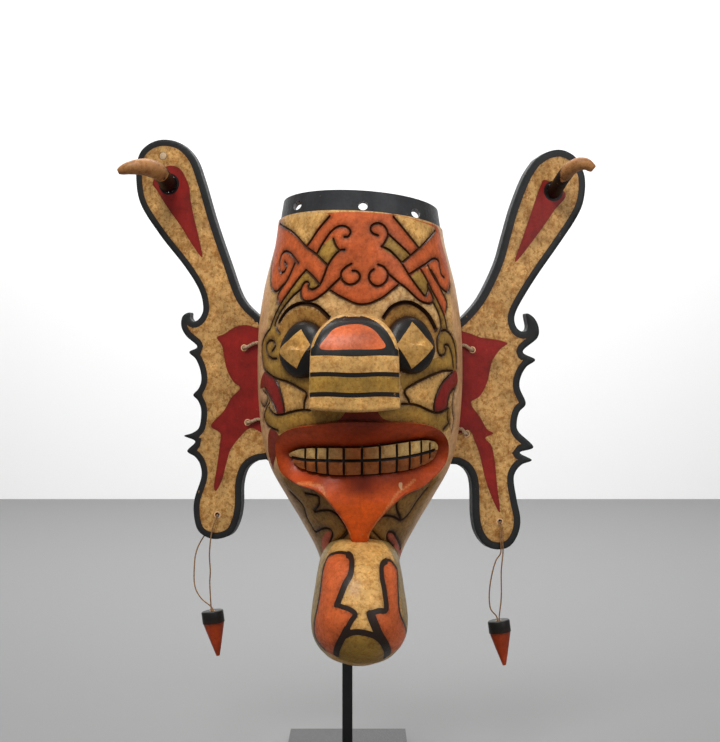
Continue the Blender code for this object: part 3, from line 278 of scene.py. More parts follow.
# Ear outlines in the front view, up the outer edge from the inner top corner
EAR_OUTLINES = {
    "left": (
        (275, 330), (258, 315), (242, 297), (229, 262), (215, 221), (203, 180), (194, 157), (180, 143),
        (162, 139.5), (147, 145), (138, 157), (136, 180), (141, 205), (160, 235), (185, 267),
        (199, 290), (203, 308), (199.5, 318), (193.5, 321.5), (190, 318), (189.5, 312.4),
        (182.5, 316), (181, 326), (186, 336), (197, 346.5), (189, 352), (195.5, 359), (200, 370),
        (201, 381), (198, 389), (193, 395), (198, 401), (201, 411), (199, 427), (192, 433),
        (184, 436), (195, 441.5), (187, 451), (195, 457), (200, 465), (201, 477.5), (194.5, 498),
        (193.5, 513), (197, 529), (206, 537), (218, 539), (231, 534), (238, 521), (241, 505),
        (241.5, 484), (246, 469), (255, 461.5), (266, 459.5), (277, 458),
    ),
    "right": (
        (445, 330), (459, 320.5), (476, 302), (487, 283), (497, 260), (504, 235), (512, 207),
        (523.5, 177.5), (533.5, 161.5), (538, 157.5), (547, 152), (559, 149.5), (569.5, 152.5),
        (577.5, 159.5), (585, 177), (584, 199), (577, 217), (558.6, 245), (540, 271.5), (525, 295),
        (516, 312), (514.8, 322), (518.5, 329.5), (524.6, 331.5), (528, 327), (526.4, 313.7),
        (534, 317.5), (538.8, 327), (537.5, 338), (523, 351.6), (535.4, 359.6), (526.5, 367),
        (521, 377), (520, 388), (526, 403.4), (519.5, 412), (517, 423), (519, 432), (533.6, 447),
        (520, 452.6), (532, 460), (522, 464.6), (515.7, 472), (514, 481), (517, 500), (520.6, 519),
        (518.4, 533.5), (511, 545.5), (500, 549.5), (487, 546.5), (477, 534), (473, 516), (472, 485),
        (468, 472), (460, 465.3), (450, 464), (443, 463),
    ),
}
SIDES = {"left": -1, "right": 1}
LOBE_HOLES = {"left": (217.4, 514.8), "right": (499.8, 521.7)}
LASHINGS = {
    "upper_left": ("left", (244.2, 347.8), 343.0),
    "lower_left": ("left", (247.6, 422.4), 419.4),
    "upper_right": ("right", (472.4, 349.8), 345.4),
    "lower_right": ("right", (466.6, 433.8), 429.0),
}
PLUG_PLACE = (163.0, 156.0)
TUSK_ROOTS = {"left": (169.0, 184.0), "right": (553.5, 191.0)}

# Tusk centre lines from the board: out sideways, forward, up and half thickness, drawn millimetres
TUSK_LINES = {
    "left": ((0, 0, 0, 8.2), (4, 28, 6, 8.3), (9, 40, 9, 8.8), (19, 49, 10.5, 8.3), (31, 53, 9, 6.6),
             (39, 54, 6.5, 4.6), (42.5, 54, 5, 2.6)),
    "right": ((0, 0, 0, 7.2), (6, 27, 10, 7.2), (11, 38, 16.5, 7.0), (18, 45, 20.5, 6.7),
              (25, 48, 20.5, 6.0), (31, 48, 17, 4.6), (33, 48, 15.5, 3.4)),
}

# Twine of each pendant: points as (across, down, depth behind the mask's back plane)
TWINE_ROUTES = {
    "left": ((211.2, 614.5, 3), (211.0, 607, 2.6), (209.8, 583.5, 0.5), (210.3, 571, -1), (209.5, 552, -3),
             (212, 531, -5.2), (215.3, 520.5, -5.5), (216.8, 516.6, -5.7), (217.4, 514.9, -3.6),
             (221.1, 513.8, 9.0), (221, 515.2, 11.6), (216, 522, 13.2), (203.7, 536.5, 12.5),
             (196.5, 551, 11), (194.3, 567, 9), (194.8, 585.5, 7), (201, 598, 5),
             (212.0, 607.5, 3.4), (213.2, 614.5, 3)),
    "right": ((499.5, 624, 3), (499.3, 616, 2.6), (501.3, 597, 0.5), (501.3, 571, -2), (503, 552, -5.2),
              (502.2, 535, -6.1), (501.2, 526, -6.2), (500.9, 523.2, -6.3), (500.7, 521.9, -4.4),
              (496.9, 520.6, 9.0), (498.5, 517, 12), (496, 512.5, 13), (492.5, 516, 12),
              (495.0, 520.6, 9.0), (498.8, 521.9, -4.4), (498.9, 523.2, -6.3), (499.2, 526, -6.2),
              (500.2, 535, -6.1), (500.8, 552, -5.2), (496, 560.5, -3.2), (492, 574, -1), (489.4, 592, 1),
              (490.4, 608, 2.2), (496.6, 616.5, 2.8), (497.5, 624, 3)),
}
PENDANT_PLACES = {"left": (212.2, 610.5), "right": (498.5, 620.0)}
PENDANT_DEPTH = 3.0

# A real height on the side wall, as a share of the drawn one, where the lashings go in
WALL_NEARER = 0.99

# The stand's upright behind the knob, from the mask's middle and back plane
ROD_X = -12.5
ROD_Y = -13.0


class Paint(Enum):
    """Colours as seen, 0 to 255, with how strongly each is mottled."""

    ORANGE = (216, 103, 50, 0.6)
    OLIVE = (184, 142, 62, 0.75)
    CREAM = (236, 184, 108, 0.95)
    GROUND = (232, 186, 122, 1.0)
    BARE = (236, 186, 136, 0.5)
    # Tan of the upper eye sockets, darkened as painted shade under the brows
    OCHRE = (206, 152, 78, 0.9)
    DIAMOND = (214, 164, 88, 0.85)
    RED = (150, 32, 26, 0.25)
    DULL_RED = (134, 40, 22, 0.3)
    PINK = (204, 96, 66, 0.3)
    BLACK = (24, 22, 20, 0.1)
    BAND = (54, 55, 57, 0.1)
    LINE = (30, 18, 8, 0.05)
    # Black: painted shade in the mouth, and the real blackening of the tusks' roots
    SHADE = (18, 8, 4, 0.05)
    EDGE_BLACK = (38, 40, 41, 0.1)
    # Dark red of the philtrum: partly paint, partly painted shadow under the nose
    PHILTRUM = (150, 44, 10, 0.3)
    LIP = (208, 78, 18, 0.4)
    # Dark red of the lips: partly paint, partly painted shade near the mouth, under the nose and in the
    # keel's hollow
    LIP_DEEP = (116, 28, 5, 0.2)
    KEEL = (236, 96, 22, 0.45)
    # Painted highlight along the keel's ridges
    RIDGE = (244, 150, 84, 0.3)
    TEETH = (240, 200, 128, 0.7)
    TEETH_LOW = (160, 90, 38, 0.7)
    JAW = (158, 116, 52, 0.85)
    STRIP = (176, 148, 92, 0.7)
    EAR = (218, 170, 104, 1.15)
    HOLLOW = (150, 108, 70, 0.6)
    CHIP = (240, 190, 140, 0.1)
    TUSK = (186, 132, 80, 0.8)
    CONE = (176, 64, 22, 0.4)
    PLUG = (214, 186, 148, 0.3)


# Painted areas and lines in the front view, as (across, down)
FOREHEAD_ORANGE = (
    (279.5, 222), (276, 238), (273, 255), (270.5, 272), (270.3, 283), (271.8, 289.5), (274.8, 291.6),
    (278, 290), (283, 284.5), (286.5, 280.5), (280, 290), (277.2, 296), (277.6, 304), (282, 301),
    (289, 291), (297, 280), (305.5, 270), (312, 276), (319.5, 284.5), (313, 289.3), (308, 288),
    (308.5, 283.5), (305.5, 281.8), (302, 285.5), (300.3, 292), (301.3, 298.5), (306, 301.5),
    (314, 299.7), (324, 293), (330, 290.5), (338, 295.5), (346.5, 299.8), (355, 303.6), (363, 304.6),
    (372, 302.8), (383, 297.5), (392, 290.6), (400.4, 283.7), (407, 288.6), (413.2, 294.6),
    (419.6, 300.2), (425.5, 303), (431, 303.6), (433.8, 300.5), (432.3, 294.5), (428.3, 284.5),
    (424, 275), (428.5, 265.5), (433.3, 275.3), (438.7, 283.9), (443.5, 289.5), (448.4, 292.2),
    (450.5, 286), (447, 262), (442, 244), (438, 228), (420, 221), (400, 215.5), (360, 212),
    (320, 213.5), (300, 217.5),
)
FACE_AREAS = (
    ("ORANGE", FOREHEAD_ORANGE),
    ("ORANGE", ((421, 268.5), (427.5, 280), (432, 289.5), (437.8, 300), (441.5, 308), (444.8, 316),
                (446.3, 312), (447.5, 304), (445.3, 297), (441.5, 289.8), (437.8, 280.5), (431.5, 270))),
    ("CREAM", ((280.4, 222.6), (304, 216), (328, 214), (317, 228), (306, 243.4), (294, 233))),
    ("CREAM", ((396, 216), (418, 221), (435.6, 229.4), (428, 238), (419.6, 247), (407, 232))),
    ("OLIVE", ((315.5, 254.5), (323, 245), (333, 238), (336.5, 245), (339.5, 250), (333, 257.5),
               (327, 264.5))),
    ("OLIVE", ((305.5, 270), (297, 280), (289, 291), (282, 301), (276, 312), (272.3, 321), (269.5, 329),
               (278.5, 333), (274.8, 326), (276.3, 320), (280, 312), (286, 303.5), (292.5, 296),
               (300.3, 289.5), (302, 285.5), (305.5, 281.8), (308.5, 283.5), (308, 288), (313, 289.3),
               (319.5, 284.5), (312, 276))),
    ("OLIVE", ((390.5, 236), (393.6, 238.6), (402, 247), (409.7, 255.4), (402, 261.5), (393, 255),
               (383.5, 248))),
    ("OLIVE", ((419.6, 271), (411.5, 277.5), (418, 286), (426.6, 295), (427.6, 284))),
    ("OLIVE", ((421, 268.5), (427.5, 280), (432, 289.5), (437.8, 300), (441.5, 308), (444.8, 316),
               (447.8, 330), (440.5, 332), (441.5, 327), (440.6, 319), (437.8, 310.7), (433.5, 302),
               (433.8, 300.5), (432.3, 294.5), (428.8, 287.5))),
    ("OLIVE", ((269.5, 329), (264.6, 335.7), (262, 343.3), (261.4, 353), (262.7, 364.4), (265.3, 371.3),
               (275.5, 378.3), (287, 382), (297.2, 387.2), (306, 393.6), (309, 388), (309, 372),
               (290, 371), (282, 362), (279, 350), (279.5, 340), (278.5, 333))),
    ("OLIVE", ((440.5, 332), (447.8, 330), (453, 336.7), (456.8, 344.4), (457, 368), (453.5, 371),
               (443.6, 371.2), (429.6, 376.3), (415.6, 383.3), (405, 391), (401, 385), (401, 375),
               (412, 373), (425, 368), (432, 359.8), (441, 355.6), (438.3, 350.5), (438.2, 340))),
    ("CREAM", ((276.1, 380.8), (290, 386), (305.5, 395.5), (304, 403), (302.3, 408.3), (293, 411),
               (284.4, 412.1), (281, 396))),
    ("CREAM", ((405, 391), (426, 380), (443.7, 374.2), (437, 392), (433.9, 407.9), (423, 406),
               (412, 403))),
    ("RED", ((265.3, 371.3), (271, 375.7), (276.8, 382.8), (280.6, 394.2), (283.2, 405.7), (283.8, 414),
             (276, 413), (271, 400.6), (264.7, 388.5), (260.5, 388.5), (260.5, 382.8), (262.1, 376.4))),
    ("RED", ((453.5, 371.5), (443.7, 381.9), (437.4, 393.9), (434.6, 405), (434.8, 411.5), (442, 411),
             (447.2, 408.6), (448.6, 400.2), (450.7, 393.2), (454.9, 388.2), (457.5, 384), (457, 372))),
    ("OLIVE", ((266, 407), (270.4, 410.8), (274.9, 414.6), (281.9, 414.6), (290.8, 412), (301, 410.2),
               (310, 410.5), (360, 411), (402, 404), (410, 404), (419, 405.8), (429.6, 410.7),
               (436.7, 412.8), (443.7, 411.4), (450, 407.9), (450, 421.9), (443.7, 432), (400, 426),
               (360, 424), (300, 429), (277.4, 434), (270.4, 427.4), (266, 423.6), (263, 417.2))),
    # The philtrum's dark red is partly its paint and partly painted shadow under the nose
    ("PHILTRUM", ((326, 425.5), (335, 422), (341, 418), (345, 412.5), (347, 407), (376, 407),
                  (378.5, 413), (383, 418.5), (392, 423), (362, 427))),
    ("DULL_RED", ((271, 428), (268.5, 433.8), (267.9, 441.4), (268.5, 452.9), (271, 462.5),
                  (273.6, 469.5), (276.4, 454.8), (277.5, 445.9), (279, 436.3))),
    ("PINK", ((330.2, 531), (324.4, 534), (322.1, 539.7), (322.1, 546), (322.7, 553.5), (321.6, 559.8),
              (324.4, 551.8), (326.7, 544.9), (330.2, 540.8))),
    ("PINK", ((389, 531.7), (386.2, 535.1), (387.9, 539.7), (392.5, 545.4), (399.9, 560.4),
              (401.7, 551.2), (398.2, 544.3), (396.5, 538.6), (393.6, 533.4))),
)
EYE_DIAMONDS = (
    ((304.3, 329.3), (283.8, 351), (302.5, 368.6), (314.3, 345)),
    ((409.8, 321.9), (427.3, 346.5), (407.9, 369), (393.5, 345)),
)
JAW_LINES = (
    ((346.8, 530.5), (341.7, 536.3), (335.9, 542), (331.3, 547.2)),
    ((347.4, 533.4), (338.8, 543.1)),
    ((373, 531.1), (381, 539), (389, 547.7)),
    ((369.5, 536.8), (380, 546), (391.3, 557.5)),
)
CHEEK_LINES = (
    ((262.2, 391), (265.6, 394.5), (266.6, 400), (263.6, 406.5), (260.8, 404)),
    ((268.5, 402.5), (264.5, 410), (262.5, 420), (263.5, 428)),
    ((457, 386), (454.2, 396), (453.2, 408), (454.5, 420), (452.5, 431)),
    ((449.3, 408), (448.4, 418), (450.6, 425)),
)
# Middle lines of the keel's ridges, where the highlights are painted
KEEL_RIDGES = (
    ((304, 483), (322.7, 485.6), (331, 496.5), (338, 510), (345.5, 521), (351.7, 533)),
    ((413, 479.5), (402, 487), (393, 493), (382.4, 507), (371.6, 525.4), (366.5, 536)),
)
KEEL_CHIP = ((397.2, 484.3), (398.8, 482.4), (400.8, 482.8), (399.4, 486), (397.8, 489.6), (396.8, 487.2))
NOSE_AREAS = (
    ("BLACK", ((312.7, 353), (313.5, 346), (320.7, 331), (329.6, 322.1), (340.4, 316.3), (352, 315),
               (365.4, 316.8), (377, 322.1), (385.9, 330.2), (392.1, 340), (395.3, 348), (396, 353))),
    ("ORANGE", ((320.7, 348.9), (327, 336.4), (335, 328.4), (347.5, 324.8), (360.9, 324.4), (371.6, 328.4),
                (379.6, 336.4), (384.1, 348), (352, 349.4))),
)
NOSE_BARS = (
    ("BLACK", 349.8, 356.0), ("CREAM", 356.0, 372.4), ("BLACK", 372.4, 376.9), ("OLIVE", 376.9, 392.4),
    ("BLACK", 392.4, 397.1), ("CREAM", 397.1, 420.0),
)
KNOB_AREAS = (
    ("ORANGE", ((327.9, 556.9), (333.6, 553.5), (339.9, 552.3), (347.4, 553.5), (350.8, 555.8),
                (353.3, 562.9), (351.2, 575.1), (345.1, 585.3), (335.9, 605.7), (349.2, 608.8),
                (356.3, 613.9), (351.2, 622), (347.1, 630.2), (341, 640.4), (334.9, 654.7), (325, 650),
                (314.5, 633.3), (318.6, 601.6), (322.7, 571))),
    ("ORANGE", ((385.9, 559.8), (380.8, 563.9), (380.8, 577.1), (383.9, 591.4), (385.9, 610.2),
                (370.6, 611.8), (368.6, 614.9), (374.7, 627.1), (379.8, 637.3), (388, 655.7), (396, 650),
                (404.3, 642.4), (401.2, 616.9), (398.2, 591.4), (397.1, 569), (391, 561))),
    ("OLIVE", ((342, 638.4), (351.2, 631.2), (361.4, 631.2), (374.7, 634.3), (381.8, 640.4), (388, 655.7),
               (375, 663), (360, 664), (345, 661), (334.9, 654.7))),
)
KNOB_LINES = (
    (0.0024, ((322.7, 571), (327.9, 556.9), (333.6, 553.5), (339.9, 552.3), (346, 553.2))),
    (0.0056, ((347.4, 554.5), (350.8, 556.8), (351.9, 563.5), (350.2, 575.1), (344.6, 585.3),
              (336.9, 604.7))),
    (0.0044, ((336.9, 604.7), (341.5, 606.6), (349.2, 609.2), (355.3, 614.3), (351.2, 621),
              (347.4, 628.2))),
    (0.0058, ((347.4, 628.2), (341.5, 639.4), (336.2, 654.7))),
    (0.0024, ((397.1, 569), (391, 561), (386.5, 560.2))),
    (0.0050, ((386.5, 561), (382, 565), (382, 577.1), (384.6, 591.4), (386.2, 609.5), (379, 610.8),
              (370.6, 613.3))),
    (0.0074, ((370.6, 614), (375.4, 626.4), (380.6, 637.3), (387, 655.7))),
    (0.0056, ((342, 637.4), (351.2, 632.8), (361.4, 632.4), (374.7, 635.9), (381.8, 641.4))),
)
KNOB_THIN_LINES = (
    ((322.7, 571), (318.6, 601.6), (314.5, 633.3), (325, 650)),
    ((397.1, 569), (398.2, 591.4), (401.2, 616.9), (404.3, 642.4)),
)
EAR_AREAS = {
    "left": (
        ((152.8, 182), (157.4, 191.2), (168.9, 209.5), (180.4, 225.6), (191.8, 244), (202.2, 257.2),
         (198.7, 237.1), (194.1, 217.6), (190.7, 200.4), (188.4, 184.3), (179.2, 168.2), (165, 167)),
        ((217, 337.5), (224, 334), (235, 327), (246.5, 325), (258, 328), (274, 330), (274, 428), (251, 428),
         (241, 436), (231, 449), (227, 461), (222, 480), (216, 491), (214, 485), (217, 466), (220, 443),
         (220, 433), (211, 425.5), (223.6, 411), (231, 398), (240, 388), (233.5, 382), (227, 370),
         (224, 357), (222, 346)),
    ),
    "right": (
        ((546, 180), (540, 187), (532, 210), (523.5, 235), (515, 262), (535, 238), (554, 211), (565.6, 194)),
        ((450, 338), (484, 338), (507, 342.7), (500.5, 349), (492.5, 360.5), (490, 370), (487, 383),
         (480, 396),
         (471, 403), (480, 417), (487, 429), (493.4, 433.4), (485.4, 438), (491.6, 446), (495, 463),
         (497, 484), (499.6, 505), (499, 512), (491.6, 497), (485, 478), (480, 456), (474.6, 441),
         (468.4, 430), (450, 428)),
    ),
}

# Width of each ear's border and of the stain round its tusk, in drawn millimetres
EAR_BORDER = {"left": 6.5, "right": 7.2}
TUSK_STAIN = {"left": 10.8, "right": 10.2}

# Widths, depths and slopes of the finer carving
BROW_W = 0.0042
BROW_DEPTH = 0.0035
SCORE_W = 0.0016
MOUTH_LINE_W = 0.0030
TOOTH_GAP_W = 0.0028
TOOTH_GAP_DEPTH = TEETH_RISE * 0.75
TOOTH_ROUND = 0.0052
TOOTH_EDGE = 0.0016
LIP_EDGE = 0.0014
LIP_INSETS = (0, 0.0005, LIP_EDGE, 0.003, 0.005)
KEEL_WALL = 0.0060
CUT_SLOPE = 0.0007
CUT_SLOPE_REACH = 0.0034
RIM_STEP = 0.0004
CARVED_DEPTH = 0.0065
EYE_RINGS = {72: (0.5, 0.495, 0.48, 0.455, 0.42, 0.36), 30: (0.29, 0.21, 0.12, 0.05)}
SOCKET_SHARE = 0.72

# Drawn millimetres below the middle at which one form or paint of the jaw passes into the next
KEEL_RISES = (100, 122)
KEEL_FALLS = (128, 162)
KEEL_WIDENS = (98, 118)
KEEL_BRIGHTENS = (104, 125)
JAW_DARKENS = (96, 106)

# Paint: where the bare sides begin, the darker tone of the carved lines, half a tooth gap, and how far grime
# and painted shade spread
SIDE_STRIP_ARC = 0.116
LINE_SHADE = np.array((0.16, 0.13, 0.12, 0.2))
GAP_HALF = 0.0013
GRIME_AND_SHADE_REACH = 0.0022

# Distances between the loose points of a mesh and along its lines, and how near counts as the same
MESH_STEP = 0.0024
LINE_STEP = 0.0016
SAME = 1e-6


def mask_place() -> Vector:
    """Return where the middle of the mask's back plane stands, from the stand's own sizes."""
    return Vector((-ROD_X * UNIT, -ROD_Y * UNIT, -CHIN_Z * UNIT + STAND_RISE))


def smooth_through(x: Array, table: tuple, column: int) -> Array:
    """Read a smooth curve through a table.

    Args:
        x: Values of the table's first column to read at.
        table: Rows of numbers, rising in their first column.
        column: The column to read.

    Returns:
        The curve's values at x.
    """
    knots = np.array([row[0] for row in table], dtype=float)
    values = np.array([row[column] for row in table], dtype=float)
    slopes = np.gradient(values, knots)
    x = np.clip(x, knots[0], knots[-1])
    i = np.clip(np.searchsorted(knots, x) - 1, 0, len(knots) - 2)
    step = knots[i + 1] - knots[i]
    t = (x - knots[i]) / step
    return ((1 + 2 * t) * (1 - t) ** 2 * values[i] + t * (1 - t) ** 2 * step * slopes[i]
            + t * t * (3 - 2 * t) * values[i + 1] + t * t * (t - 1) * step * slopes[i + 1])


def half_width(z: Array) -> Array:
    """Return the face's half width at height z."""
    return smooth_through(z / UNIT, FACE_PROFILE, 1) * UNIT * WIDE


def reach(z: Array) -> Array:
    """Return how far the face stands in front of its back plane at height z."""
    return smooth_through(z / UNIT, FACE_PROFILE, 2) * UNIT * DEEP


def face_frame(arc: Array, z: Array) -> tuple[Array, Array]:
    """Return points of the plain face and the outward steps there."""
    arc, z = np.broadcast_arrays(np.asarray(arc, float), np.asarray(z, float))
    angle = arc / ARC_RADIUS
    width, depth = half_width(z), reach(z) / (1 + BACK_SHIFT)
    out = np.stack([depth * np.sin(angle), -width * np.cos(angle), np.zeros_like(angle)], axis=-1)
    out /= np.linalg.norm(out, axis=-1, keepdims=True)
    plain = np.stack([width * np.sin(angle), -depth * (np.cos(angle) + BACK_SHIFT), z], axis=-1)
    return plain, out


def face_surface(arc: Array, z: Array, lift: Array = 0.0) -> Array:
    """Return points at a distance lift outside the plain face."""
    plain, out = face_frame(arc, z)
    return plain + out * np.asarray(lift, float)[..., None]


def unwrap(points: Array) -> tuple[Array, Array]:
    """Find where points lie on the face.

    Args:
        points: Points in the mask's frame.

    Returns:
        Their (arc, z) on the face, and their distance outside it.
    """
    base = points.copy()
    for _ in range(4):
        width, depth = half_width(base[:, 2]), reach(base[:, 2]) / (1 + BACK_SHIFT)
        angle = np.arctan2(base[:, 0] / width, -base[:, 1] / depth - BACK_SHIFT)
        plain, out = face_frame(angle * ARC_RADIUS, base[:, 2])
        lift = ((points - plain) * out).sum(axis=1)
        base = points - out * lift[:, None]
    return np.stack([angle * ARC_RADIUS, points[:, 2]], axis=-1), lift


def on_face(places: tuple) -> Array:
    """Return (arc, z) of the face's points that the front view shows at the given places."""
    seen = np.array(places, dtype=float)
    across, up = seen[:, 0] - VIEW_X, VIEW_Z - seen[:, 1]
    y = -reach(up * UNIT) / UNIT
    for _ in range(12):
        nearer = 1 + y / EYE_DISTANCE
        z = up * nearer * UNIT
        sine = np.clip(across * nearer * UNIT * WIDE / half_width(z), -1, 1)
        angle = np.arcsin(sine)
        y = -reach(z) * (np.cos(angle) + BACK_SHIFT) / (1 + BACK_SHIFT) / UNIT
    return np.stack([angle * ARC_RADIUS, z], axis=-1)


def seen_at(points: Array) -> Array:
    """Return the places at which the front view shows points of the mask's frame."""
    nearer = 1 + points[:, 1] / UNIT / EYE_DISTANCE
    return np.stack([VIEW_X + points[:, 0] / UNIT / nearer, VIEW_Z - points[:, 2] / UNIT / nearer], axis=-1)


def view_point(across: float, down: float, depth: float) -> Vector:
    """Return the point that the front view shows at a place and a known depth."""
    nearer = 1 + depth / EYE_DISTANCE
    return Vector(((across - VIEW_X) * nearer, depth, (VIEW_Z - down) * nearer)) * UNIT


def smooth_path(points: Array, spacing: float, closed: bool = False) -> Array:
    """Return points every spacing or so on a Catmull-Rom curve through the given points."""
    points = np.asarray(points, dtype=float)
    count = len(points)
    out = []
    for i in range(count if closed else count - 1):
        if closed:
            p0, p1, p2, p3 = (points[(i + k) % count] for k in (-1, 0, 1, 2))
        else:
            p0, p1, p2, p3 = (points[min(max(i + k, 0), count - 1)] for k in (-1, 0, 1, 2))
        steps = max(1, round(float(np.linalg.norm(p2 - p1)) / spacing))
        for t in np.arange(steps) / steps:
            out.append(0.5 * (2 * p1 + (p2 - p0) * t + (2 * p0 - 5 * p1 + 4 * p2 - p3) * t ** 2
                              + (3 * p1 - p0 - 3 * p2 + p3) * t ** 3))
    if not closed:
        out.append(points[-1])
    return np.array(out)


def straight_path(points: Array, spacing: float, closed: bool) -> Array:
    """Return points every spacing or so on the straight lines between the given points."""
    points = np.asarray(points, dtype=float)
    ends = np.roll(points, -1, axis=0) if closed else points[1:]
    out = []
    for start, end in zip(points, ends):
        steps = max(1, math.ceil(float(np.linalg.norm(end - start)) / spacing))
        out += [start + (end - start) * i / steps for i in range(steps)]
    if not closed:
        out.append(points[-1])
    return np.array(out)


def side_steps(path: Array, closed: bool) -> Array:
    """Return the unit step to the left of a path at each of its points."""
    if closed:
        along = np.roll(path, -1, axis=0) - np.roll(path, 1, axis=0)
    else:
        along = np.gradient(path, axis=0)
    along /= np.maximum(np.linalg.norm(along, axis=1, keepdims=True), 1e-9)
    return np.stack([-along[:, 1], along[:, 0]], axis=-1)


def inside(points: Array, outline: Array) -> Array:
    """Return which points lie inside a closed outline."""
    low, high = outline.min(axis=0), outline.max(axis=0)
    found = np.all((points > low) & (points < high), axis=1)
    near = np.nonzero(found)[0]
    x0, y0 = outline[:, 0], outline[:, 1]
    x1, y1 = np.roll(x0, -1), np.roll(y0, -1)
    level = np.where(y1 == y0, 1e-12, y1 - y0)
    for part in np.array_split(near, max(1, len(near) // 4000)):
        x, y = points[part, 0:1], points[part, 1:2]
        crosses = (y0 > y) != (y1 > y)
        at = x0 + (y - y0) * (x1 - x0) / level
        found[part] = (crosses & (x < at)).sum(axis=1) % 2 == 1
    return found


def ramp(value: Array, low: float, high: float) -> Array:
    """Return 0 below low, 1 above high, and a straight slope between them."""
    return np.clip((value - low) / (high - low), 0, 1)


def rim_height(arc: Array) -> Array:
    """Return the height of the mask's sawn rim at a distance round the face."""
    top = face_surface(arc, np.full_like(np.asarray(arc, float), RIM_Z * UNIT), np.zeros_like(arc))
    return RIM_Z * UNIT + RIM_PITCH * (-top[..., 1] - FACE_DEPTH * 0.9) - RIM_ROLL * top[..., 0]


class Nearness:
    """Distances to a set of lines, found among close samples along them."""

    def __init__(self, lines: list[Line], step: float = 0.0004) -> None:
        samples = np.vstack([straight_path(line, step, closed) for line, closed in lines])
        self.tree = KDTree(len(samples))
        for i, (x, y) in enumerate(samples):
            self.tree.insert((x, y, 0), i)
        self.tree.balance()

    def of(self, points: Array) -> Array:
        """Return each point's distance to the nearest line."""
        return np.array([self.tree.find((x, y, 0))[2] for x, y in points])


class Groove:
    """A line of some width along a smooth path on a surface."""

    def __init__(self, path: Array, width: float = GROOVE_W) -> None:
        self.path = smooth_path(path, LINE_STEP)
        self.half = width / 2

    def edges(self) -> Array:
        """Return the groove's two edges with its ends, as one closed line."""
        step = side_steps(self.path, False) * self.half
        first, last = self.path[1] - self.path[0], self.path[-1] - self.path[-2]
        start = self.path[0] - first * self.half / np.linalg.norm(first)
        end = self.path[-1] + last * self.half / np.linalg.norm(last)
        return np.vstack([start, self.path + step, end, (self.path - step)[::-1]])

    def lines(self) -> list[Line]:
        """Return the lines that a mesh needs to show the groove."""
        return [(self.edges(), True), (self.path, False)]


def circle(middle: Array, radius: float, sides: int) -> Array:
    """Return a closed ring of points."""
    turn = np.linspace(0, 2 * math.pi, sides, endpoint=False)
    return np.asarray(middle) + radius * np.stack([np.cos(turn), np.sin(turn)], axis=-1)


def net(lines: list[Line], step: float) -> tuple[Array, list]:
    """Fill the area inside the first line with triangles that follow every line.

    Args:
        lines: The border first, then the other lines, each with whether it closes.
        step: Distance between the loose points.

    Returns:
        The flat points and the triangles' corners.
    """
    low, high = lines[0][0].min(axis=0), lines[0][0].max(axis=0)
    near = Nearness(lines, step / 3)
    rows = np.arange(low[1] + step / 2, high[1], step * 0.87)
    grid = np.array([(a + step / 2 * (j % 2), z) for j, z in enumerate(rows)
                     for a in np.arange(low[0] + step / 2, high[0], step)])
    grid = grid[inside(grid, lines[0][0])]
    grid = grid[near.of(grid) > step * 0.6]
    points, edges = [], []
    for line, closed in lines:
        start = len(points)
        points += [tuple(p) for p in line]
        edges += [(start + i, start + i + 1) for i in range(len(line) - 1)]
        if closed:
            edges.append((len(points) - 1, start))
    points += [tuple(p) for p in grid]
    flat, _, triangles = delaunay_2d_cdt([Vector(p) for p in points], edges, [], 1, 1e-5)[:3]
    return np.array([(v.x, v.y) for v in flat]), triangles


def mesh_object(name: str, points: Array, faces: list) -> bpy.types.Object:
    """Return a linked object with the given points and faces, its normals facing out."""
    bm = bmesh.new()
    verts = [bm.verts.new(p) for p in points]
    for face in faces:
        bm.faces.new([verts[i] for i in face])
    bmesh.ops.triangulate(bm, faces=[face for face in bm.faces if len(face.verts) > 4])
    bmesh.ops.recalc_face_normals(bm, faces=bm.faces[:])
    mesh = bpy.data.meshes.new(name)
    bm.to_mesh(mesh)
    bm.free()
    obj = bpy.data.objects.new(name, mesh)
    bpy.context.collection.objects.link(obj)
    return obj


def band(near: list, far: list) -> list:
    """Return the faces between two closed rows of as many points each."""
    count = len(near)
    return [(near[i], near[(i + 1) % count], far[(i + 1) % count], far[i]) for i in range(count)]


def only_used(points: Array, faces: list) -> tuple[Array, list]:
    """Return the points that faces use, and the faces by those points' new numbers."""
    used = sorted({i for face in faces for i in face})
    number = {old: new for new, old in enumerate(used)}
    return points[used], [[number[i] for i in face] for face in faces]


def rings_object(name: str, rings: Array) -> bpy.types.Object:
    """Return an object over rings of points, closed by a flat end at each side."""
    rings = np.asarray(rings, dtype=float)
    rows, count = rings.shape[:2]
    numbers = [list(range(r * count, (r + 1) * count)) for r in range(rows)]
    faces = [face for near, far in zip(numbers, numbers[1:]) for face in band(near, far)]
    return mesh_object(name, rings.reshape(-1, 3), faces + [numbers[0], numbers[-1]])


def oval_object(name: str, heights: Array, columns: int, lift: float, behind: float) -> bpy.types.Object:
    """Make a solid in the form of the face's plan, flat behind.

    Args:
        name: The new object's name.
        heights: Heights of its rings of points, upwards.
        columns: Points of a ring round the face.
        lift: How far it stands outside the plain face.
        behind: How far its flat side stands behind the back plane.

    Returns:
        The object.
    """
    arcs = np.linspace(-SIDE_ARC, SIDE_ARC, columns)
    rings = []
    for z in heights:
        ring = face_surface(arcs, np.full_like(arcs, z), np.full_like(arcs, lift))
        rings.append(np.vstack([ring, [(ring[-1][0], behind, z), (ring[0][0], behind, z)]]))
    return rings_object(name, rings)


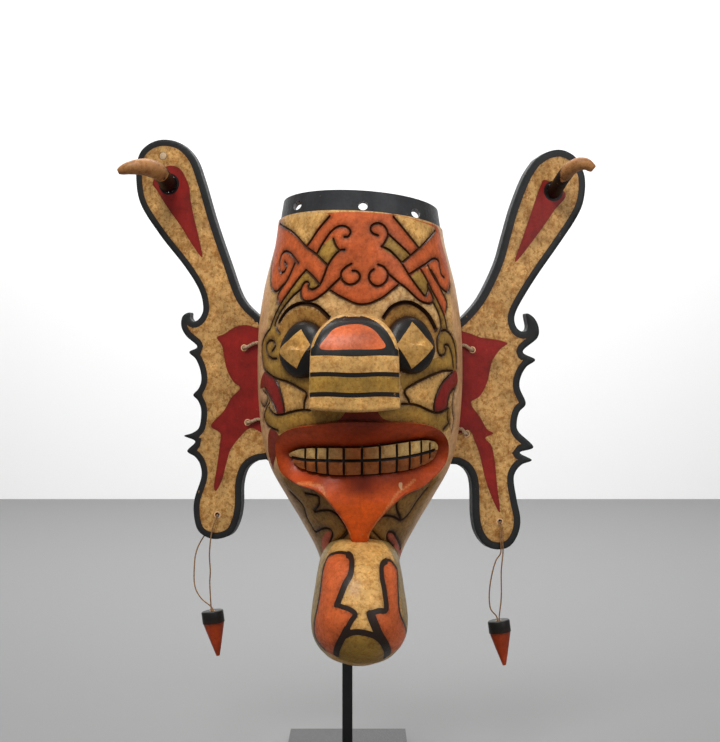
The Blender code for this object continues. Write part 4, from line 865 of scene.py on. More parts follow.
def swept(name: str, centres: Array, halves: Array, sides: int, spacing: float,
          strands: int = 0, pitch: float = 0.005, relief: float = 0.22) -> bpy.types.Object:
    """Make a round form along a smooth line, plain or laid up of twisted strands.

    Args:
        name: The new object's name.
        centres: Points of the middle line.
        halves: Half thickness at each of them.
        sides: Points round the form.
        spacing: Distance between its rings.
        strands: How many strands show, or 0 for a plain form.
        pitch: Length of one turn of the strands.
        relief: Share of the half thickness that the strands' valleys go in.

    Returns:
        The object.
    """
    line = smooth_path(np.column_stack([centres, halves]), spacing)
    travelled = 0.0
    normal = Vector((0.2, 0.3, 1)).normalized()
    rings = []
    for i, row in enumerate(line):
        ahead, behind = line[min(i + 1, len(line) - 1)], line[max(i - 1, 0)]
        along = Vector(ahead[:3] - behind[:3]).normalized()
        normal = (normal - along * normal.dot(along)).normalized()
        other = along.cross(normal)
        if i:
            travelled += float(np.linalg.norm(row[:3] - line[i - 1][:3]))
        ring = []
        for k in range(sides):
            turn = 2 * math.pi * k / sides
            half = float(row[3])
            if strands:
                lobe = abs(math.cos(strands / 2 * (turn - 2 * math.pi * travelled / pitch)))
                half *= 1 - relief + relief * math.sqrt(lobe)
            ring.append(Vector(row[:3]) + half * (normal * math.cos(turn) + other * math.sin(turn)))
        rings.append(ring)
    return rings_object(name, rings)


def choose(*objects: bpy.types.Object) -> None:
    """Select only these objects, with the first of them active."""
    bpy.ops.object.select_all(action="DESELECT")
    for obj in objects:
        obj.select_set(True)
    bpy.context.view_layer.objects.active = objects[0]


def modify(obj: bpy.types.Object, kind: str, **settings: object) -> None:
    """Apply one modifier with the given settings to an object."""
    choose(obj)
    modifier = obj.modifiers.new(kind.lower(), kind)
    for name, value in settings.items():
        setattr(modifier, name, value)
    bpy.ops.object.modifier_apply(modifier=modifier.name)


def cut(obj: bpy.types.Object, tool: bpy.types.Object) -> None:
    """Cut a tool's form out of an object and remove the tool."""
    modify(obj, "BOOLEAN", operation="DIFFERENCE", solver="EXACT", object=tool)
    bpy.data.objects.remove(tool, do_unlink=True)


def join(parts: list[bpy.types.Object]) -> bpy.types.Object:
    """Join objects into the first of them and return it."""
    choose(*parts)
    bpy.ops.object.join()
    return parts[0]


def peg(start: Vector, end: Vector, diameter: float, sides: int = 32) -> bpy.types.Object:
    """Return a round tool between two points."""
    start, end = Vector(start), Vector(end)
    bpy.ops.object.select_all(action="DESELECT")
    bpy.ops.mesh.primitive_cylinder_add(vertices=sides, radius=diameter / 2, depth=(end - start).length,
                                        location=(start + end) / 2)
    tool = bpy.context.object
    tool.rotation_mode = "QUATERNION"
    tool.rotation_quaternion = (end - start).to_track_quat("Z", "Y")
    bpy.context.view_layer.update()
    return tool


def bake_place(obj: bpy.types.Object, matrix: Matrix) -> None:
    """Move an object's mesh to its place, so that the object itself sits at the origin."""
    obj.data.transform(matrix)
    obj.matrix_world = Matrix()


def put_up(obj: bpy.types.Object) -> None:
    """Move a piece's mesh from the mask's frame to where the mask stands."""
    bake_place(obj, Matrix.Translation(mask_place()))


def linear(channel: float) -> float:
    """Return the linear value of a colour channel given from 0 to 255."""
    share = channel / 255
    return share / 12.92 if share <= 0.04045 else ((share + 0.055) / 1.055) ** 2.4


def rgba(paint: str) -> Array:
    """Return a paint's linear colour with its mottling as the fourth number."""
    *colour, mottle = Paint[paint].value
    return np.array([*(linear(c) for c in colour), mottle])


def blend(first: Array, second: Array, share: Array) -> Array:
    """Return a mix of two paints with the second one's share at each point."""
    share = share[:, None]
    return first * (1 - share) + second * share


def grime_and_shade_near(away: Array) -> Array:
    """Return how much grime and painted shade lies at a distance from an edge."""
    return np.exp(-np.clip(away, 0, None) / GRIME_AND_SHADE_REACH)


def vectors(items: bpy.types.bpy_prop_collection, what: str) -> Array:
    """Return one vector of each face or point of a mesh."""
    values = np.empty(len(items) * 3)
    items.foreach_get(what, values)
    return values.reshape(-1, 3)


def centres_and_normals(obj: bpy.types.Object) -> tuple[Array, Array]:
    """Return the middle and the normal of each of an object's faces."""
    return vectors(obj.data.polygons, "center"), vectors(obj.data.polygons, "normal")


def vertex_places(obj: bpy.types.Object) -> Array:
    """Return the places of an object's points."""
    return vectors(obj.data.vertices, "co")


def coat(obj: bpy.types.Object, colours: Array, grime_and_shade: Array) -> None:
    """Store the paint of each face and the grime and painted shade at each point of an object."""
    for name, kind, domain, field_name, values in (("paint", "FLOAT_COLOR", "FACE", "color", colours),
                                                   ("grime_and_shade", "FLOAT", "POINT", "value", grime_and_shade)):
        attribute = obj.data.attributes.new(name, kind, domain)
        attribute.data.foreach_set(field_name, np.asarray(values, dtype=np.float32).ravel())


def smooth(obj: bpy.types.Object, degrees: float) -> None:
    """Shade an object smooth, apart from edges sharper than the angle."""
    choose(obj)
    bpy.ops.object.shade_smooth_by_angle(angle=math.radians(degrees))


class FaceFront:
    """The carved front of the face: its lines, its relief and its paint."""

    def __init__(self) -> None:
        self.lip = smooth_path(on_face(LIP_OUTLINE), LINE_STEP, closed=True)
        self.mouth = smooth_path(on_face(MOUTH_OUTLINE), LINE_STEP, closed=True)
        self.lip_turn = self.facing_in(self.lip)
        self.mouth_turn = self.facing_in(self.mouth)
        self.eyes = on_face(EYE_PLACES)
        self.diamonds = [straight_path(on_face(d), LINE_STEP, True) for d in EYE_DIAMONDS]
        self.grooves = [Groove(on_face(p)) for p in FOREHEAD_STROKES + CHEEK_STROKES + JAW_STROKES]
        self.grooves += [Groove(on_face(p), SCORE_W) for p in JAW_LINES + CHEEK_LINES]
        self.brows = [Groove(on_face(p), BROW_W) for p in BROW_STROKES]
        self.gaps = [Groove(on_face(MOUTH_LINE), MOUTH_LINE_W)]
        for across, (top, bottom) in zip(TOOTH_GAPS, TOOTH_GAP_ENDS):
            self.gaps.append(Groove(on_face(((across, top + 1), (across, bottom - 1))), TOOTH_GAP_W))
        self.areas = [(name, smooth_path(on_face(outline), LINE_STEP, closed=True))
                      for name, outline in FACE_AREAS]
        self.near_groove = Nearness([(g.path, False) for g in self.grooves])
        self.near_brow = [Nearness([(g.path, False)]) for g in self.brows]
        self.near_gap = Nearness([(g.path, False) for g in self.gaps])
        self.near_lip = Nearness([(self.lip, True)])
        self.near_mouth = Nearness([(self.mouth, True)])
        self.near_ridge = Nearness([(smooth_path(on_face(p), LINE_STEP), False) for p in KEEL_RIDGES])
        self.chip = smooth_path(on_face(KEEL_CHIP), LINE_STEP / 2, closed=True)

    @staticmethod
    def facing_in(outline: Array) -> Array:
        """Return unit steps from a closed outline's points towards its inside."""
        step = side_steps(outline, True)
        return step if inside(outline + step * 0.0005, outline).mean() > 0.5 else -step

    def lip_height(self, points: Array, covered: Array) -> Array:
        """Return the height of the lips, the keel and the teeth at points inside the lips' outline."""
        height = np.zeros(len(points))
        part = points[covered]
        z = part[:, 1] / UNIT
        crest = LIP_RISE + (KEEL_RISE - LIP_RISE) * ramp(-z, *KEEL_RISES)
        crest -= KEEL_RISE * 0.45 * ramp(-z, *KEEL_FALLS)
        crest *= 1 - (1 - LIP_CORNER_SHARE) * ramp(np.abs(part[:, 0]) / ARC_RADIUS, 0.55, 1.05)
        from_edge, from_mouth = self.near_lip.of(part), self.near_mouth.of(part)
        slope = np.clip(from_edge - LIP_EDGE, 0, None)
        share = (slope / np.maximum(slope + from_mouth, SAME)) ** 1.2
        rise = np.clip(from_edge / (LIP_EDGE + KEEL_WALL * ramp(-z, *KEEL_WIDENS)), 0, 1)
        lips = (crest * (1 - share) - TEETH_SINK * share) * np.sqrt(rise * (2 - rise))
        round_off = 0.5 + 0.5 * np.cos(np.pi * np.clip(self.near_gap.of(part) / TOOTH_ROUND, 0, 1))
        teeth = -TEETH_SINK + TEETH_RISE * ramp(from_mouth, 0, TOOTH_EDGE) - TOOTH_GAP_DEPTH * round_off ** 2
        height[covered] = np.where(inside(part, self.mouth), teeth, lips)
        return height

    def relief(self, points: Array) -> Array:
        """Return the height of the carving above the plain face at each point."""
        away = self.near_groove.of(points)
        cutting = GROOVE_DEPTH * np.clip(1 - away / (GROOVE_W / 2), 0, 1)
        cutting += CUT_SLOPE * np.exp(-(away / CUT_SLOPE_REACH) ** 2)
        height = -cutting
        for eye, brow, near in zip(self.eyes, self.brows, self.near_brow):
            offset = points - eye
            r = np.hypot(offset[:, 0], offset[:, 1])
            upper = ramp(offset[:, 1] / np.maximum(r, SAME), -0.2, 0.6)
            socket = SOCKET_SINK * upper * ramp(r, EYE_D * SOCKET_SHARE, EYE_D / 2)
            dome = EYE_RISE * np.sqrt(np.clip(1 - (2 * r / EYE_D) ** 2.6, 0, 1))
            height -= np.maximum(socket, BROW_DEPTH * np.clip(1 - near.of(points) / brow.half, 0, 1))
            height += np.where(2 * r < EYE_D, dome + cutting, 0)
        covered = inside(points, self.lip)
        height = np.where(covered, self.lip_height(points, covered), height)
        band = points[:, 1] > rim_height(points[:, 0]) - RIM_BAND + 0.0002
        return np.where(band, -RIM_REBATE, height)

    def lines(self) -> list[Line]:
        """Return the lines that the mesh follows, its border first."""
        arcs = np.linspace(-SIDE_ARC, SIDE_ARC, 181)
        rim = rim_height(arcs)
        chin = CHIN_Z * UNIT
        shares = np.linspace(0, 1, 150)[1:-1]
        left, right = (np.stack([np.full_like(shares, arc), chin + shares * (end - RIM_BAND - chin)], axis=-1)
                       for arc, end in ((-SIDE_ARC, rim[0]), (SIDE_ARC, rim[-1])))
        levels = (np.full_like(arcs, chin), rim - RIM_BAND, rim - RIM_BAND + RIM_STEP, rim)
        bottom, step, step_top, top = (np.stack([arcs, level], axis=-1) for level in levels)
        border = np.vstack([bottom, right, step[-1], step_top[-1], top[::-1],
                            step_top[0], step[0], left[::-1]])
        found = [(border, True), (step, False), (step_top, False)]
        for eye in self.eyes:
            for sides, shares in EYE_RINGS.items():
                found += [(circle(eye, EYE_D * share, sides), True) for share in shares]
        found += [(diamond, True) for diamond in self.diamonds]
        for groove in self.grooves + self.brows + self.gaps:
            found += groove.lines()
        found += [(self.lip + self.lip_turn * inset, True) for inset in LIP_INSETS]
        found += [(self.chip, True), (self.mouth, True)]
        found.append((self.mouth + self.mouth_turn * TOOTH_EDGE, True))
        return found + [(outline, True) for _, outline in self.areas]

    def paint(self, points: Array) -> Array:
        """Return the paint at points of the front."""
        z = points[:, 1] / UNIT
        colours = np.tile(rgba("GROUND"), (len(points), 1))
        colours[np.abs(points[:, 0]) > SIDE_STRIP_ARC] = rgba("BARE")
        aside = ramp(np.abs(points[:, 0]), SIDE_STRIP_ARC * 0.94, SIDE_STRIP_ARC * 1.08)
        colours = blend(colours, rgba("JAW"), ramp(-z, *JAW_DARKENS) * (1 - 0.75 * aside))
        # Painted shade in the upper eye sockets, under the brows
        for eye in self.eyes:
            around = np.hypot(*(points - eye).T) < EYE_D * SOCKET_SHARE
            colours[around & (points[:, 1] > eye[1] - 0.006)] = rgba("OCHRE")
        for name, outline in self.areas:
            colours[inside(points, outline)] = rgba(name)
        line = self.near_groove.of(points) < GROOVE_W / 2 * 0.92
        colours[line] = colours[line] * LINE_SHADE
        for eye, diamond, brow, near in zip(self.eyes, self.diamonds, self.brows, self.near_brow):
            colours[near.of(points) < brow.half] = rgba("LINE")
            colours[np.hypot(*(points - eye).T) < EYE_D / 2] = rgba("BLACK")
            colours[inside(points, diamond)] = rgba("DIAMOND")
        covered = inside(points, self.lip)
        colours[covered] = self.lip_paint(points[covered])
        colours[inside(points, self.chip)] = rgba("CHIP")
        self.paint_teeth(points, colours)
        colours[points[:, 1] > rim_height(points[:, 0]) - RIM_BAND + 0.0001] = rgba("BAND")
        return colours

    def lip_paint(self, points: Array) -> Array:
        """Return the paint at points of the lips and the keel, with painted shade in the hollows and painted
        highlights on the ridges.
        """
        x, z = points.T / UNIT
        lips = blend(rgba("LIP"), rgba("KEEL"), ramp(-z, *KEEL_BRIGHTENS))
        # Painted shade: darker under the nose and towards the mouth
        under_nose = np.exp(-(x / 34) ** 2) * ramp(z, -74, -60)
        deep = np.clip(np.exp(-self.near_mouth.of(points) / 0.0038) * 0.85 + under_nose * 0.8, 0, 1)
        # Painted shade in the keel's hollow under the lower lip
        hollow = np.exp(-((x - 3) / 20) ** 2 - ((z + 108) / 10) ** 2)
        lips = blend(lips, rgba("LIP_DEEP"), np.clip(deep + 0.75 * hollow, 0, 1))
        # Painted highlights along the keel's ridges
        return blend(lips, rgba("RIDGE"), 0.8 * np.exp(-(self.near_ridge.of(points) / 0.0013) ** 2))

    def paint_teeth(self, points: Array, colours: Array) -> None:
        """Colour the points in the mouth: pale and brown upper teeth, brown lower ones, and black with
        painted shade in the gaps and along the mouth's edge.
        """
        mouth = inside(points, self.mouth)
        upper = mouth & (points[:, 1] > np.interp(points[:, 0], *on_face(MOUTH_LINE).T))
        # The middle upper teeth are browner: partly their paint, partly painted shadow from the nose
        brown = np.exp(-((points[:, 0] / UNIT + 4) / 33) ** 2)
        colours[mouth] = rgba("TEETH_LOW")
        colours[upper] = blend(rgba("TEETH"), rgba("TEETH_LOW"), brown)[upper]
        # Painted shade: black in the tooth gaps and in a ring along the mouth's edge
        dark = (self.near_gap.of(points) < GAP_HALF) | (self.near_mouth.of(points) < 0.0018)
        colours[mouth & dark] = rgba("SHADE")

    def grime_and_shade(self, points: Array) -> Array:
        """Return how much grime and painted shade lies at each point: in the cuts, round the lips and teeth,
        under the brows and round the eyes.
        """
        near = np.minimum(self.near_groove.of(points) - GROOVE_W / 2, self.near_lip.of(points))
        teeth = np.maximum(self.near_mouth.of(points), self.near_gap.of(points) - GAP_HALF)
        near = np.minimum(near, teeth + 0.0012)
        for brow in self.near_brow:
            near = np.minimum(near, brow.of(points) - 0.002)
        for eye in self.eyes:
            near = np.minimum(near, np.abs(np.hypot(*(points - eye).T) - EYE_D / 2))
        return grime_and_shade_near(near)


@dataclass
class Piece:
    """One physical piece, dressed and tied to its CAD node."""

    obj: bpy.types.Object
    nodes: tuple[str, ...]
    slot: str
    material: bpy.types.Material

    def settle(self, angle: float = 35.0) -> bpy.types.Object:
        """Give the piece its surface and let it ride on the object's body.

        Args:
            angle: Edges sharper than this many degrees stay sharp.

        Returns:
            The finished object.
        """
        self.obj.data.materials.clear()
        self.obj.data.materials.append(self.material)
        smooth(self.obj, angle)
        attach(self.obj, "root")
        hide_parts(*self.nodes)
        LOG.info("%s: %d faces", self.obj.name, len(self.obj.data.polygons))
        return self.obj


@dataclass
class Face:
    """The face with its nose and knob, hollow behind."""

    material: bpy.types.Material
    name: str = "mask_face"
    front: FaceFront = field(default_factory=FaceFront)

    def block(self) -> bpy.types.Object:
        """Return the solid block with its carved front."""
        flat, triangles = net(self.front.lines(), MESH_STEP)
        LOG.info("face net: %d points, %d triangles", len(flat), len(triangles))
        placed = face_surface(flat[:, 0], flat[:, 1], self.front.relief(flat))
        back = np.abs(np.abs(flat[:, 0]) - SIDE_ARC) < SAME
        placed[back, 1] = 0
        foot, top, left, right = (
            sorted(np.nonzero(chosen)[0], key=lambda i: flat[i, axis]) for chosen, axis in (
                (np.abs(flat[:, 1] - CHIN_Z * UNIT) < SAME, 0),
                (np.abs(flat[:, 1] - rim_height(flat[:, 0])) < 2 * SAME, 0),
                (back & (flat[:, 0] < 0), 1),
                (back & (flat[:, 0] > 0), 1),
            ))
        return mesh_object(self.name, placed, list(triangles) + [foot, top] + self.strip(left, right))

    @staticmethod
    def strip(left: list, right: list) -> list:
        """Return the faces of a flat strip between two columns of points."""
        shared = min(len(left), len(right)) - 1
        faces = [(left[i], right[i], right[i + 1], left[i + 1]) for i in range(shared)]
        faces += [(left[shared], right[i], right[i + 1]) for i in range(shared, len(right) - 1)]
        faces += [(left[i], right[shared], left[i + 1]) for i in range(shared, len(left) - 1)]
        return faces

    def hollow(self) -> bpy.types.Object:
        """Return the tool that hollows the mask behind."""
        heights = np.linspace(HOLLOW_FLOOR_Z * UNIT, (RIM_Z + 20) * UNIT, 42)
        return oval_object("hollow_tool", heights, 73, -WALL, 0.02)

    def holes(self) -> list[bpy.types.Object]:
        """Return the tools of the rim's holes, the ties' holes and the rod's socket."""
        tools = []
        level = math.cos(RIM_HOLE_DIP)
        for place in RIM_HOLES:
            arc, z = on_face([place])[0]
            middle = Vector(face_surface(arc, z, 0.0).tolist())
            turn = arc / ARC_RADIUS * RIM_HOLE_FAN
            along = Vector((math.sin(turn) * level, -math.cos(turn) * level, math.sin(RIM_HOLE_DIP)))
            tools.append(peg(middle + along * 0.02, middle - along * 0.04, RIM_HOLE_D))
        for side, _, drawn in LASHINGS.values():
            ends = (wall_point(side, drawn, 0.01), wall_point(side, drawn, -WALL - 0.012))
            tools.append(peg(*ends, LASHING_HOLE_D))
        below = 0.01
        middle = CHIN_Z * UNIT + ROD_RECESS / 2 - below
        bpy.ops.mesh.primitive_cube_add(size=1, location=(ROD_X * UNIT, ROD_Y * UNIT, middle))
        tool = bpy.context.object
        tool.scale = (ROD_SIDE + 2 * GAP, ROD_SIDE + 2 * GAP, ROD_RECESS + 2 * below + GAP)
        bpy.context.view_layer.update()
        return tools + [tool]

    def paint_block(self, obj: bpy.types.Object) -> None:
        """Colour the block: the carved front in its paints, the hollow and sawn faces bare."""
        middles, normals = centres_and_normals(obj)
        flat, lift = unwrap(middles)
        colours = np.tile(rgba("HOLLOW"), (len(middles), 1))
        sawn = (normals[:, 2] > 0.8) & (middles[:, 2] > 0.1)
        carved = (middles[:, 2] > CHIN_Z * UNIT + 1e-5) & (middles[:, 1] < -1e-5)
        carved &= (lift > -CARVED_DEPTH) & ~sawn
        colours[carved] = self.front.paint(flat[carved])
        colours[sawn] = rgba("BAND")
        spots, depth = unwrap(vertex_places(obj))
        # Grime and painted shade: an even share on the hollow and sawn faces, more near the front's cuts
        grime_and_shade = np.full(len(spots), 0.25)
        front = depth > -CARVED_DEPTH
        grime_and_shade[front] = self.front.grime_and_shade(spots[front])
        coat(obj, colours, grime_and_shade)

    def build(self) -> bpy.types.Object:
        """Make the face, dress it and return it."""
        obj = self.block()
        cut(obj, self.hollow())
        cut(obj, join(self.holes()))
        self.paint_block(obj)
        join([obj, Nose().build(), Knob().build()])
        put_up(obj)
        return Piece(obj, ("face",), "face_wood", self.material).settle(32)


def bar_wave(across: Array) -> Array:
    """Return how far the painted bars of the nose waver up and down, in drawn millimetres."""
    return 0.5 * np.sin(across / 9)


@dataclass
class Nose:
    """The nose block: an upright front with a round arch on top."""

    step: float = 0.0016
    root_sink: float = 0.006
    corner: float = 0.0035
    arch_share: float = 0.975
    arch_foot: float = 350.0

    def outline(self) -> Array:
        """Return the block's outline in the front plane."""
        half = NOSE_WIDTH / 2
        radius = half * self.arch_share
        base, low = NOSE_ARCH_Z * UNIT, NOSE_BOTTOM_Z * UNIT
        arch = [(radius * math.cos(a), base + radius * math.sin(a)) for a in np.linspace(0, math.pi, 50)]
        foot = [(x, low - NOSE_SAG * UNIT * (1 - (x / radius) ** 2))
                for x in np.linspace(-1, 1, 9)[1:-1] * radius]
        points = arch + [(-half, low)] + foot + [(half, low)]
        return straight_path(np.array(points) + (NOSE_X * UNIT, 0), self.step, True)

    def depth(self, points: Array, edge: Array) -> Array:
        """Return the front's distance before the back plane at (x, z) points."""
        top = (NOSE_ARCH_Z + NOSE_WIDTH / 2 / UNIT * self.arch_share) * UNIT
        rise = np.clip(points[:, 1], 0, None) / top
        start = NOSE_ARCH_START * UNIT
        front = start + (NOSE_REACH - start) * np.sqrt(np.clip(1 - rise ** 2, 0, 1))
        front = front - NOSE_BULGE * UNIT * (((points[:, 0] / UNIT - NOSE_X) * UNIT / (NOSE_WIDTH / 2)) ** 2)
        corner = self.corner * (1 + 1.2 * ramp(points[:, 1], 0, 0.025))
        away = np.clip(1 - edge / corner, 0, 1)
        return front - corner * (1 - np.sqrt(np.clip(1 - away ** 2, 0, 1)))

    def place(self, seen: tuple) -> Array:
        """Return (x, z) of the front's points that the front view shows at the given places."""
        seen = np.array(seen, dtype=float)
        y = np.full(len(seen), -NOSE_REACH)
        for _ in range(10):
            nearer = (1 + y / UNIT / EYE_DISTANCE) * UNIT
            flat = np.stack([(seen[:, 0] - VIEW_X) * nearer, (VIEW_Z - seen[:, 1]) * nearer], axis=-1)
            y = -self.depth(flat, np.full(len(flat), 1.0))
        return flat

    def lines(self, border: Array, areas: list) -> list[Line]:
        """Return the lines that the front's mesh follows, its border first."""
        middle = border.mean(axis=0)
        found = [(border, True)] + [(outline, True) for _, outline in areas]
        found += [(middle + (border - middle) * share, True) for share in (0.985, 0.965, 0.94, 0.91)]
        for down in (level for _, *levels in NOSE_BARS for level in levels):
            bar = self.place([(x, down + bar_wave(x)) for x in np.linspace(300, 410, 40)])
            bar = bar[inside(bar, border)]
            if len(bar) > 2:
                found.append((bar, False))
        return found

    def build(self) -> bpy.types.Object:
        """Make and colour the block."""
        border = self.outline()
        middle = border.mean(axis=0)
        areas = [(name, smooth_path(self.place(outline), self.step, True)) for name, outline in NOSE_AREAS]
        flat, triangles = net(self.lines(border, areas), self.step)
        edge = Nearness([(border, True)]).of(flat)
        front = np.column_stack([flat[:, 0], -self.depth(flat, edge), flat[:, 1]])
        on_border = np.nonzero(edge < 2e-5)[0]
        turn = np.arctan2(flat[on_border, 1] - middle[1], flat[on_border, 0] - middle[0])
        ring = list(on_border[np.argsort(turn)])
        root = front[ring].copy()
        width = half_width(root[:, 2])
        angle = np.arcsin(np.clip(root[:, 0] / width, -1, 1))
        skin = -reach(root[:, 2]) / (1 + BACK_SHIFT) * (np.cos(angle) + BACK_SHIFT)
        root[:, 1] = np.maximum(skin + self.root_sink, root[:, 1] + 0.0004)
        rows, points, faces = [ring], [front], list(triangles)
        for share in (0.15, 0.35, 0.6, 0.8, 1.0):
            start = sum(map(len, points))
            points.append(front[ring] + (root - front[ring]) * share)
            rows.append(list(range(start, start + len(ring))))
            faces += band(*rows[-2:])
        faces.append(rows[-1])
        obj = mesh_object("nose", np.vstack(points), faces)
        self.colour(obj, areas)
        return obj

    def colour(self, obj: bpy.types.Object, areas: list) -> None:
        """Paint the block's arch and bars, and its sides."""
        middles, normals = centres_and_normals(obj)
        seen = seen_at(middles)
        flat = middles[:, [0, 2]]
        colours = np.tile(rgba("CREAM"), (len(middles), 1))
        wave = seen[:, 1] - bar_wave(seen[:, 0])
        for name, top, bottom in NOSE_BARS:
            colours[(wave >= top) & (wave < bottom)] = rgba(name)
        for name, outline in areas:
            colours[inside(flat, outline)] = rgba(name)
        aside, on_arch = normals[:, 1] > -0.35, seen[:, 1] < self.arch_foot
        colours[aside & on_arch] = rgba("GROUND")
        flank = aside & ~on_arch
        colours[flank] = colours[flank] * 0.4 + rgba("GROUND") * 0.6
        places = vertex_places(obj)
        # Grime and painted shade in the crease where the block meets the face
        grime_and_shade = 0.9 * np.exp(-np.abs(places[:, 1] + reach(places[:, 2])) / 0.006)
        coat(obj, colours, np.clip(grime_and_shade, 0.05, 1))


@dataclass
class Knob:
    """The egg-shaped knob that juts forward under the chin, drawn flat round a radius."""

    step: float = 0.0018
    radius: float = 0.042
    thin_line: float = 0.0022
    aside: float = 0.043
    squareness: float = 2.2

    def profile(self, z: Array) -> tuple[Array, Array, Array]:
        """Return the half width, the middle and the half depth at height z."""
        table = tuple(reversed(KNOB_PROFILE))
        half, front, back = (smooth_through(z / UNIT, table, c) * UNIT for c in (1, 2, 3))
        return half, (front + back) / 2, (front - back) / 2

    def surface(self, turn: Array, z: Array) -> Array:
        """Return points of the knob at an angle round it and a height."""
        half, middle, deep = self.profile(z)
        power = self.squareness
        squash = (np.abs(np.cos(turn)) ** power + np.abs(np.sin(turn)) ** power) ** (-1 / power)
        return np.stack([KNOB_X * UNIT + half * squash * np.cos(turn),
                         -(middle + deep * squash * np.sin(turn)), z], axis=-1)

    def place(self, seen: tuple) -> Array:
        """Return flat points of the knob that the front view shows at the given places."""
        seen = np.array(seen, dtype=float)
        turns = np.linspace(math.pi, 0, 181)
        out = []
        for across, down in seen:
            y = -0.14
            for _ in range(12):
                nearer = (1 + y / UNIT / EYE_DISTANCE) * UNIT
                x, z = (across - VIEW_X) * nearer, (VIEW_Z - down) * nearer
                row = self.surface(turns, np.full_like(turns, z))
                turn = float(np.interp(x, row[:, 0], turns))
                y = 0.5 * y + 0.5 * float(self.surface(np.array([turn]), np.array([z]))[0, 1])
            out.append((turn * self.radius, z))
        return np.array(out)

    def build(self) -> bpy.types.Object:
        """Make and colour the knob."""
        low, high = KNOB_PROFILE[-1][0] * UNIT, KNOB_PROFILE[0][0] * UNIT
        start = -math.pi / 2 * self.radius
        width = 2 * math.pi * self.radius
        columns = round(width / self.step)
        rows = round((high - low) / self.step)
        seam = [(start, low + (high - low) * i / rows) for i in range(rows + 1)]
        border = [(start + width * i / columns, low) for i in range(columns)]
        border += [(x + width, z) for x, z in seam[:-1]]
        border += [(start + width * (1 - i / columns), high) for i in range(columns)]
        border += seam[:0:-1]
        areas = [(name, smooth_path(self.place(outline), self.step, True)) for name, outline in KNOB_AREAS]
        strokes = [Groove(self.place(path), broad) for broad, path in KNOB_LINES]
        strokes += [Groove(self.place(path), self.thin_line) for path in KNOB_THIN_LINES]
        lines = [(np.array(border), True)] + [(outline, True) for _, outline in areas]
        flat, triangles = net(lines + [(stroke.edges(), True) for stroke in strokes], self.step)
        placed = self.surface(flat[:, 0] / self.radius, flat[:, 1])
        first, last = (np.abs(flat[:, 0] - across) < SAME for across in (start, start + width))
        merged = {}
        for i in np.nonzero(last)[0]:
            level_with = np.abs(flat[:, 1] - flat[i, 1]) < 20 * SAME
            merged[i] = int(np.nonzero(first & level_with)[0][0])
        faces = [[merged.get(i, i) for i in triangle] for triangle in triangles]
        for level in (low, high):
            ring = [i for i in np.nonzero(np.abs(flat[:, 1] - level) < SAME)[0] if i not in merged]
            faces.append(sorted(ring, key=lambda i: flat[i, 0]))
        obj = mesh_object("knob", *only_used(placed, faces))
        self.colour(obj, areas, strokes)
        return obj

    def flatten(self, points: Array) -> Array:
        """Return the flat points at which points of the knob are drawn."""
        half, middle, deep = self.profile(points[:, 2])
        turn = np.arctan2((-points[:, 1] - middle) / deep, (points[:, 0] - KNOB_X * UNIT) / half)
        turn = np.where(turn < -math.pi / 2, turn + 2 * math.pi, turn)
        return np.stack([turn * self.radius, points[:, 2]], axis=-1)

    def colour(self, obj: bpy.types.Object, areas: list, strokes: list) -> None:
        """Paint the knob's panels, lines and sides."""
        flat, places = self.flatten(centres_and_normals(obj)[0]), self.flatten(vertex_places(obj))
        colours = np.tile(rgba("CREAM"), (len(flat), 1))
        aside = (np.abs(flat[:, 0] - math.pi / 2 * self.radius) > self.aside) | (flat[:, 0] < 0)
        colours[aside] = rgba("STRIP")
        for name, outline in areas:
            colours[inside(flat, outline)] = rgba(name)
        away = np.full(len(places), 1.0)
        for stroke in strokes:
            near = Nearness([(stroke.path, False)])
            colours[near.of(flat) < stroke.half] = rgba("BLACK")
            away = np.minimum(away, near.of(places) - stroke.half)
        coat(obj, colours, 0.7 * grime_and_shade_near(away))


def ear_root(side: str) -> Vector:
    """Return the corner where an ear's front face meets the mask's side."""
    return Vector((SIDES[side] * FACE_WIDTH / 2, -EAR_THICKNESS, 0))


def ear_matrix(side: str) -> Matrix:
    """Return the place and turn of an ear board in the mask's frame."""
    return Matrix.Translation(ear_root(side)) @ Matrix.Rotation(SIDES[side] * EAR_SWEEP, 4, "Z")


def ear_plane(side: str, place: tuple) -> tuple[float, float]:
    """Return a front-view point on an ear's front face, as (outwards, up) from its root."""
    across, up = abs(place[0] - VIEW_X), VIEW_Z - place[1]
    slope = math.tan(EAR_SWEEP)
    root_x, root_y = DRAWN_WIDTH / 2, -EAR_THICKNESS / UNIT
    x = across * (1 + (root_y - root_x * slope) / EYE_DISTANCE) / (1 - across * slope / EYE_DISTANCE)
    y = root_y + (x - root_x) * slope
    return (x - root_x) / math.cos(EAR_SWEEP) * UNIT, up * (1 + y / EYE_DISTANCE) * UNIT


def ear_point(side: str, place: tuple, behind: float = 0.0) -> Vector:
    """Return a front-view point of an ear in the mask's frame, some way behind its front face."""
    out, up = ear_plane(side, place)
    return ear_matrix(side) @ Vector((SIDES[side] * out, behind, up))


def lashing_level() -> float:
    """Return the y of a lashing where it goes into the mask's side wall."""
    return -EAR_THICKNESS - LASHING_D / 2 - GAP * 2


def wall_point(side: str, drawn: float, out: float) -> tuple[float, float, float]:
    """Return the point some way outside the mask's side wall where a lashing goes in at a drawn height."""
    z = (VIEW_Z - drawn) * UNIT * WALL_NEARER
    return SIDES[side] * (float(half_width(z)) + out), lashing_level(), z


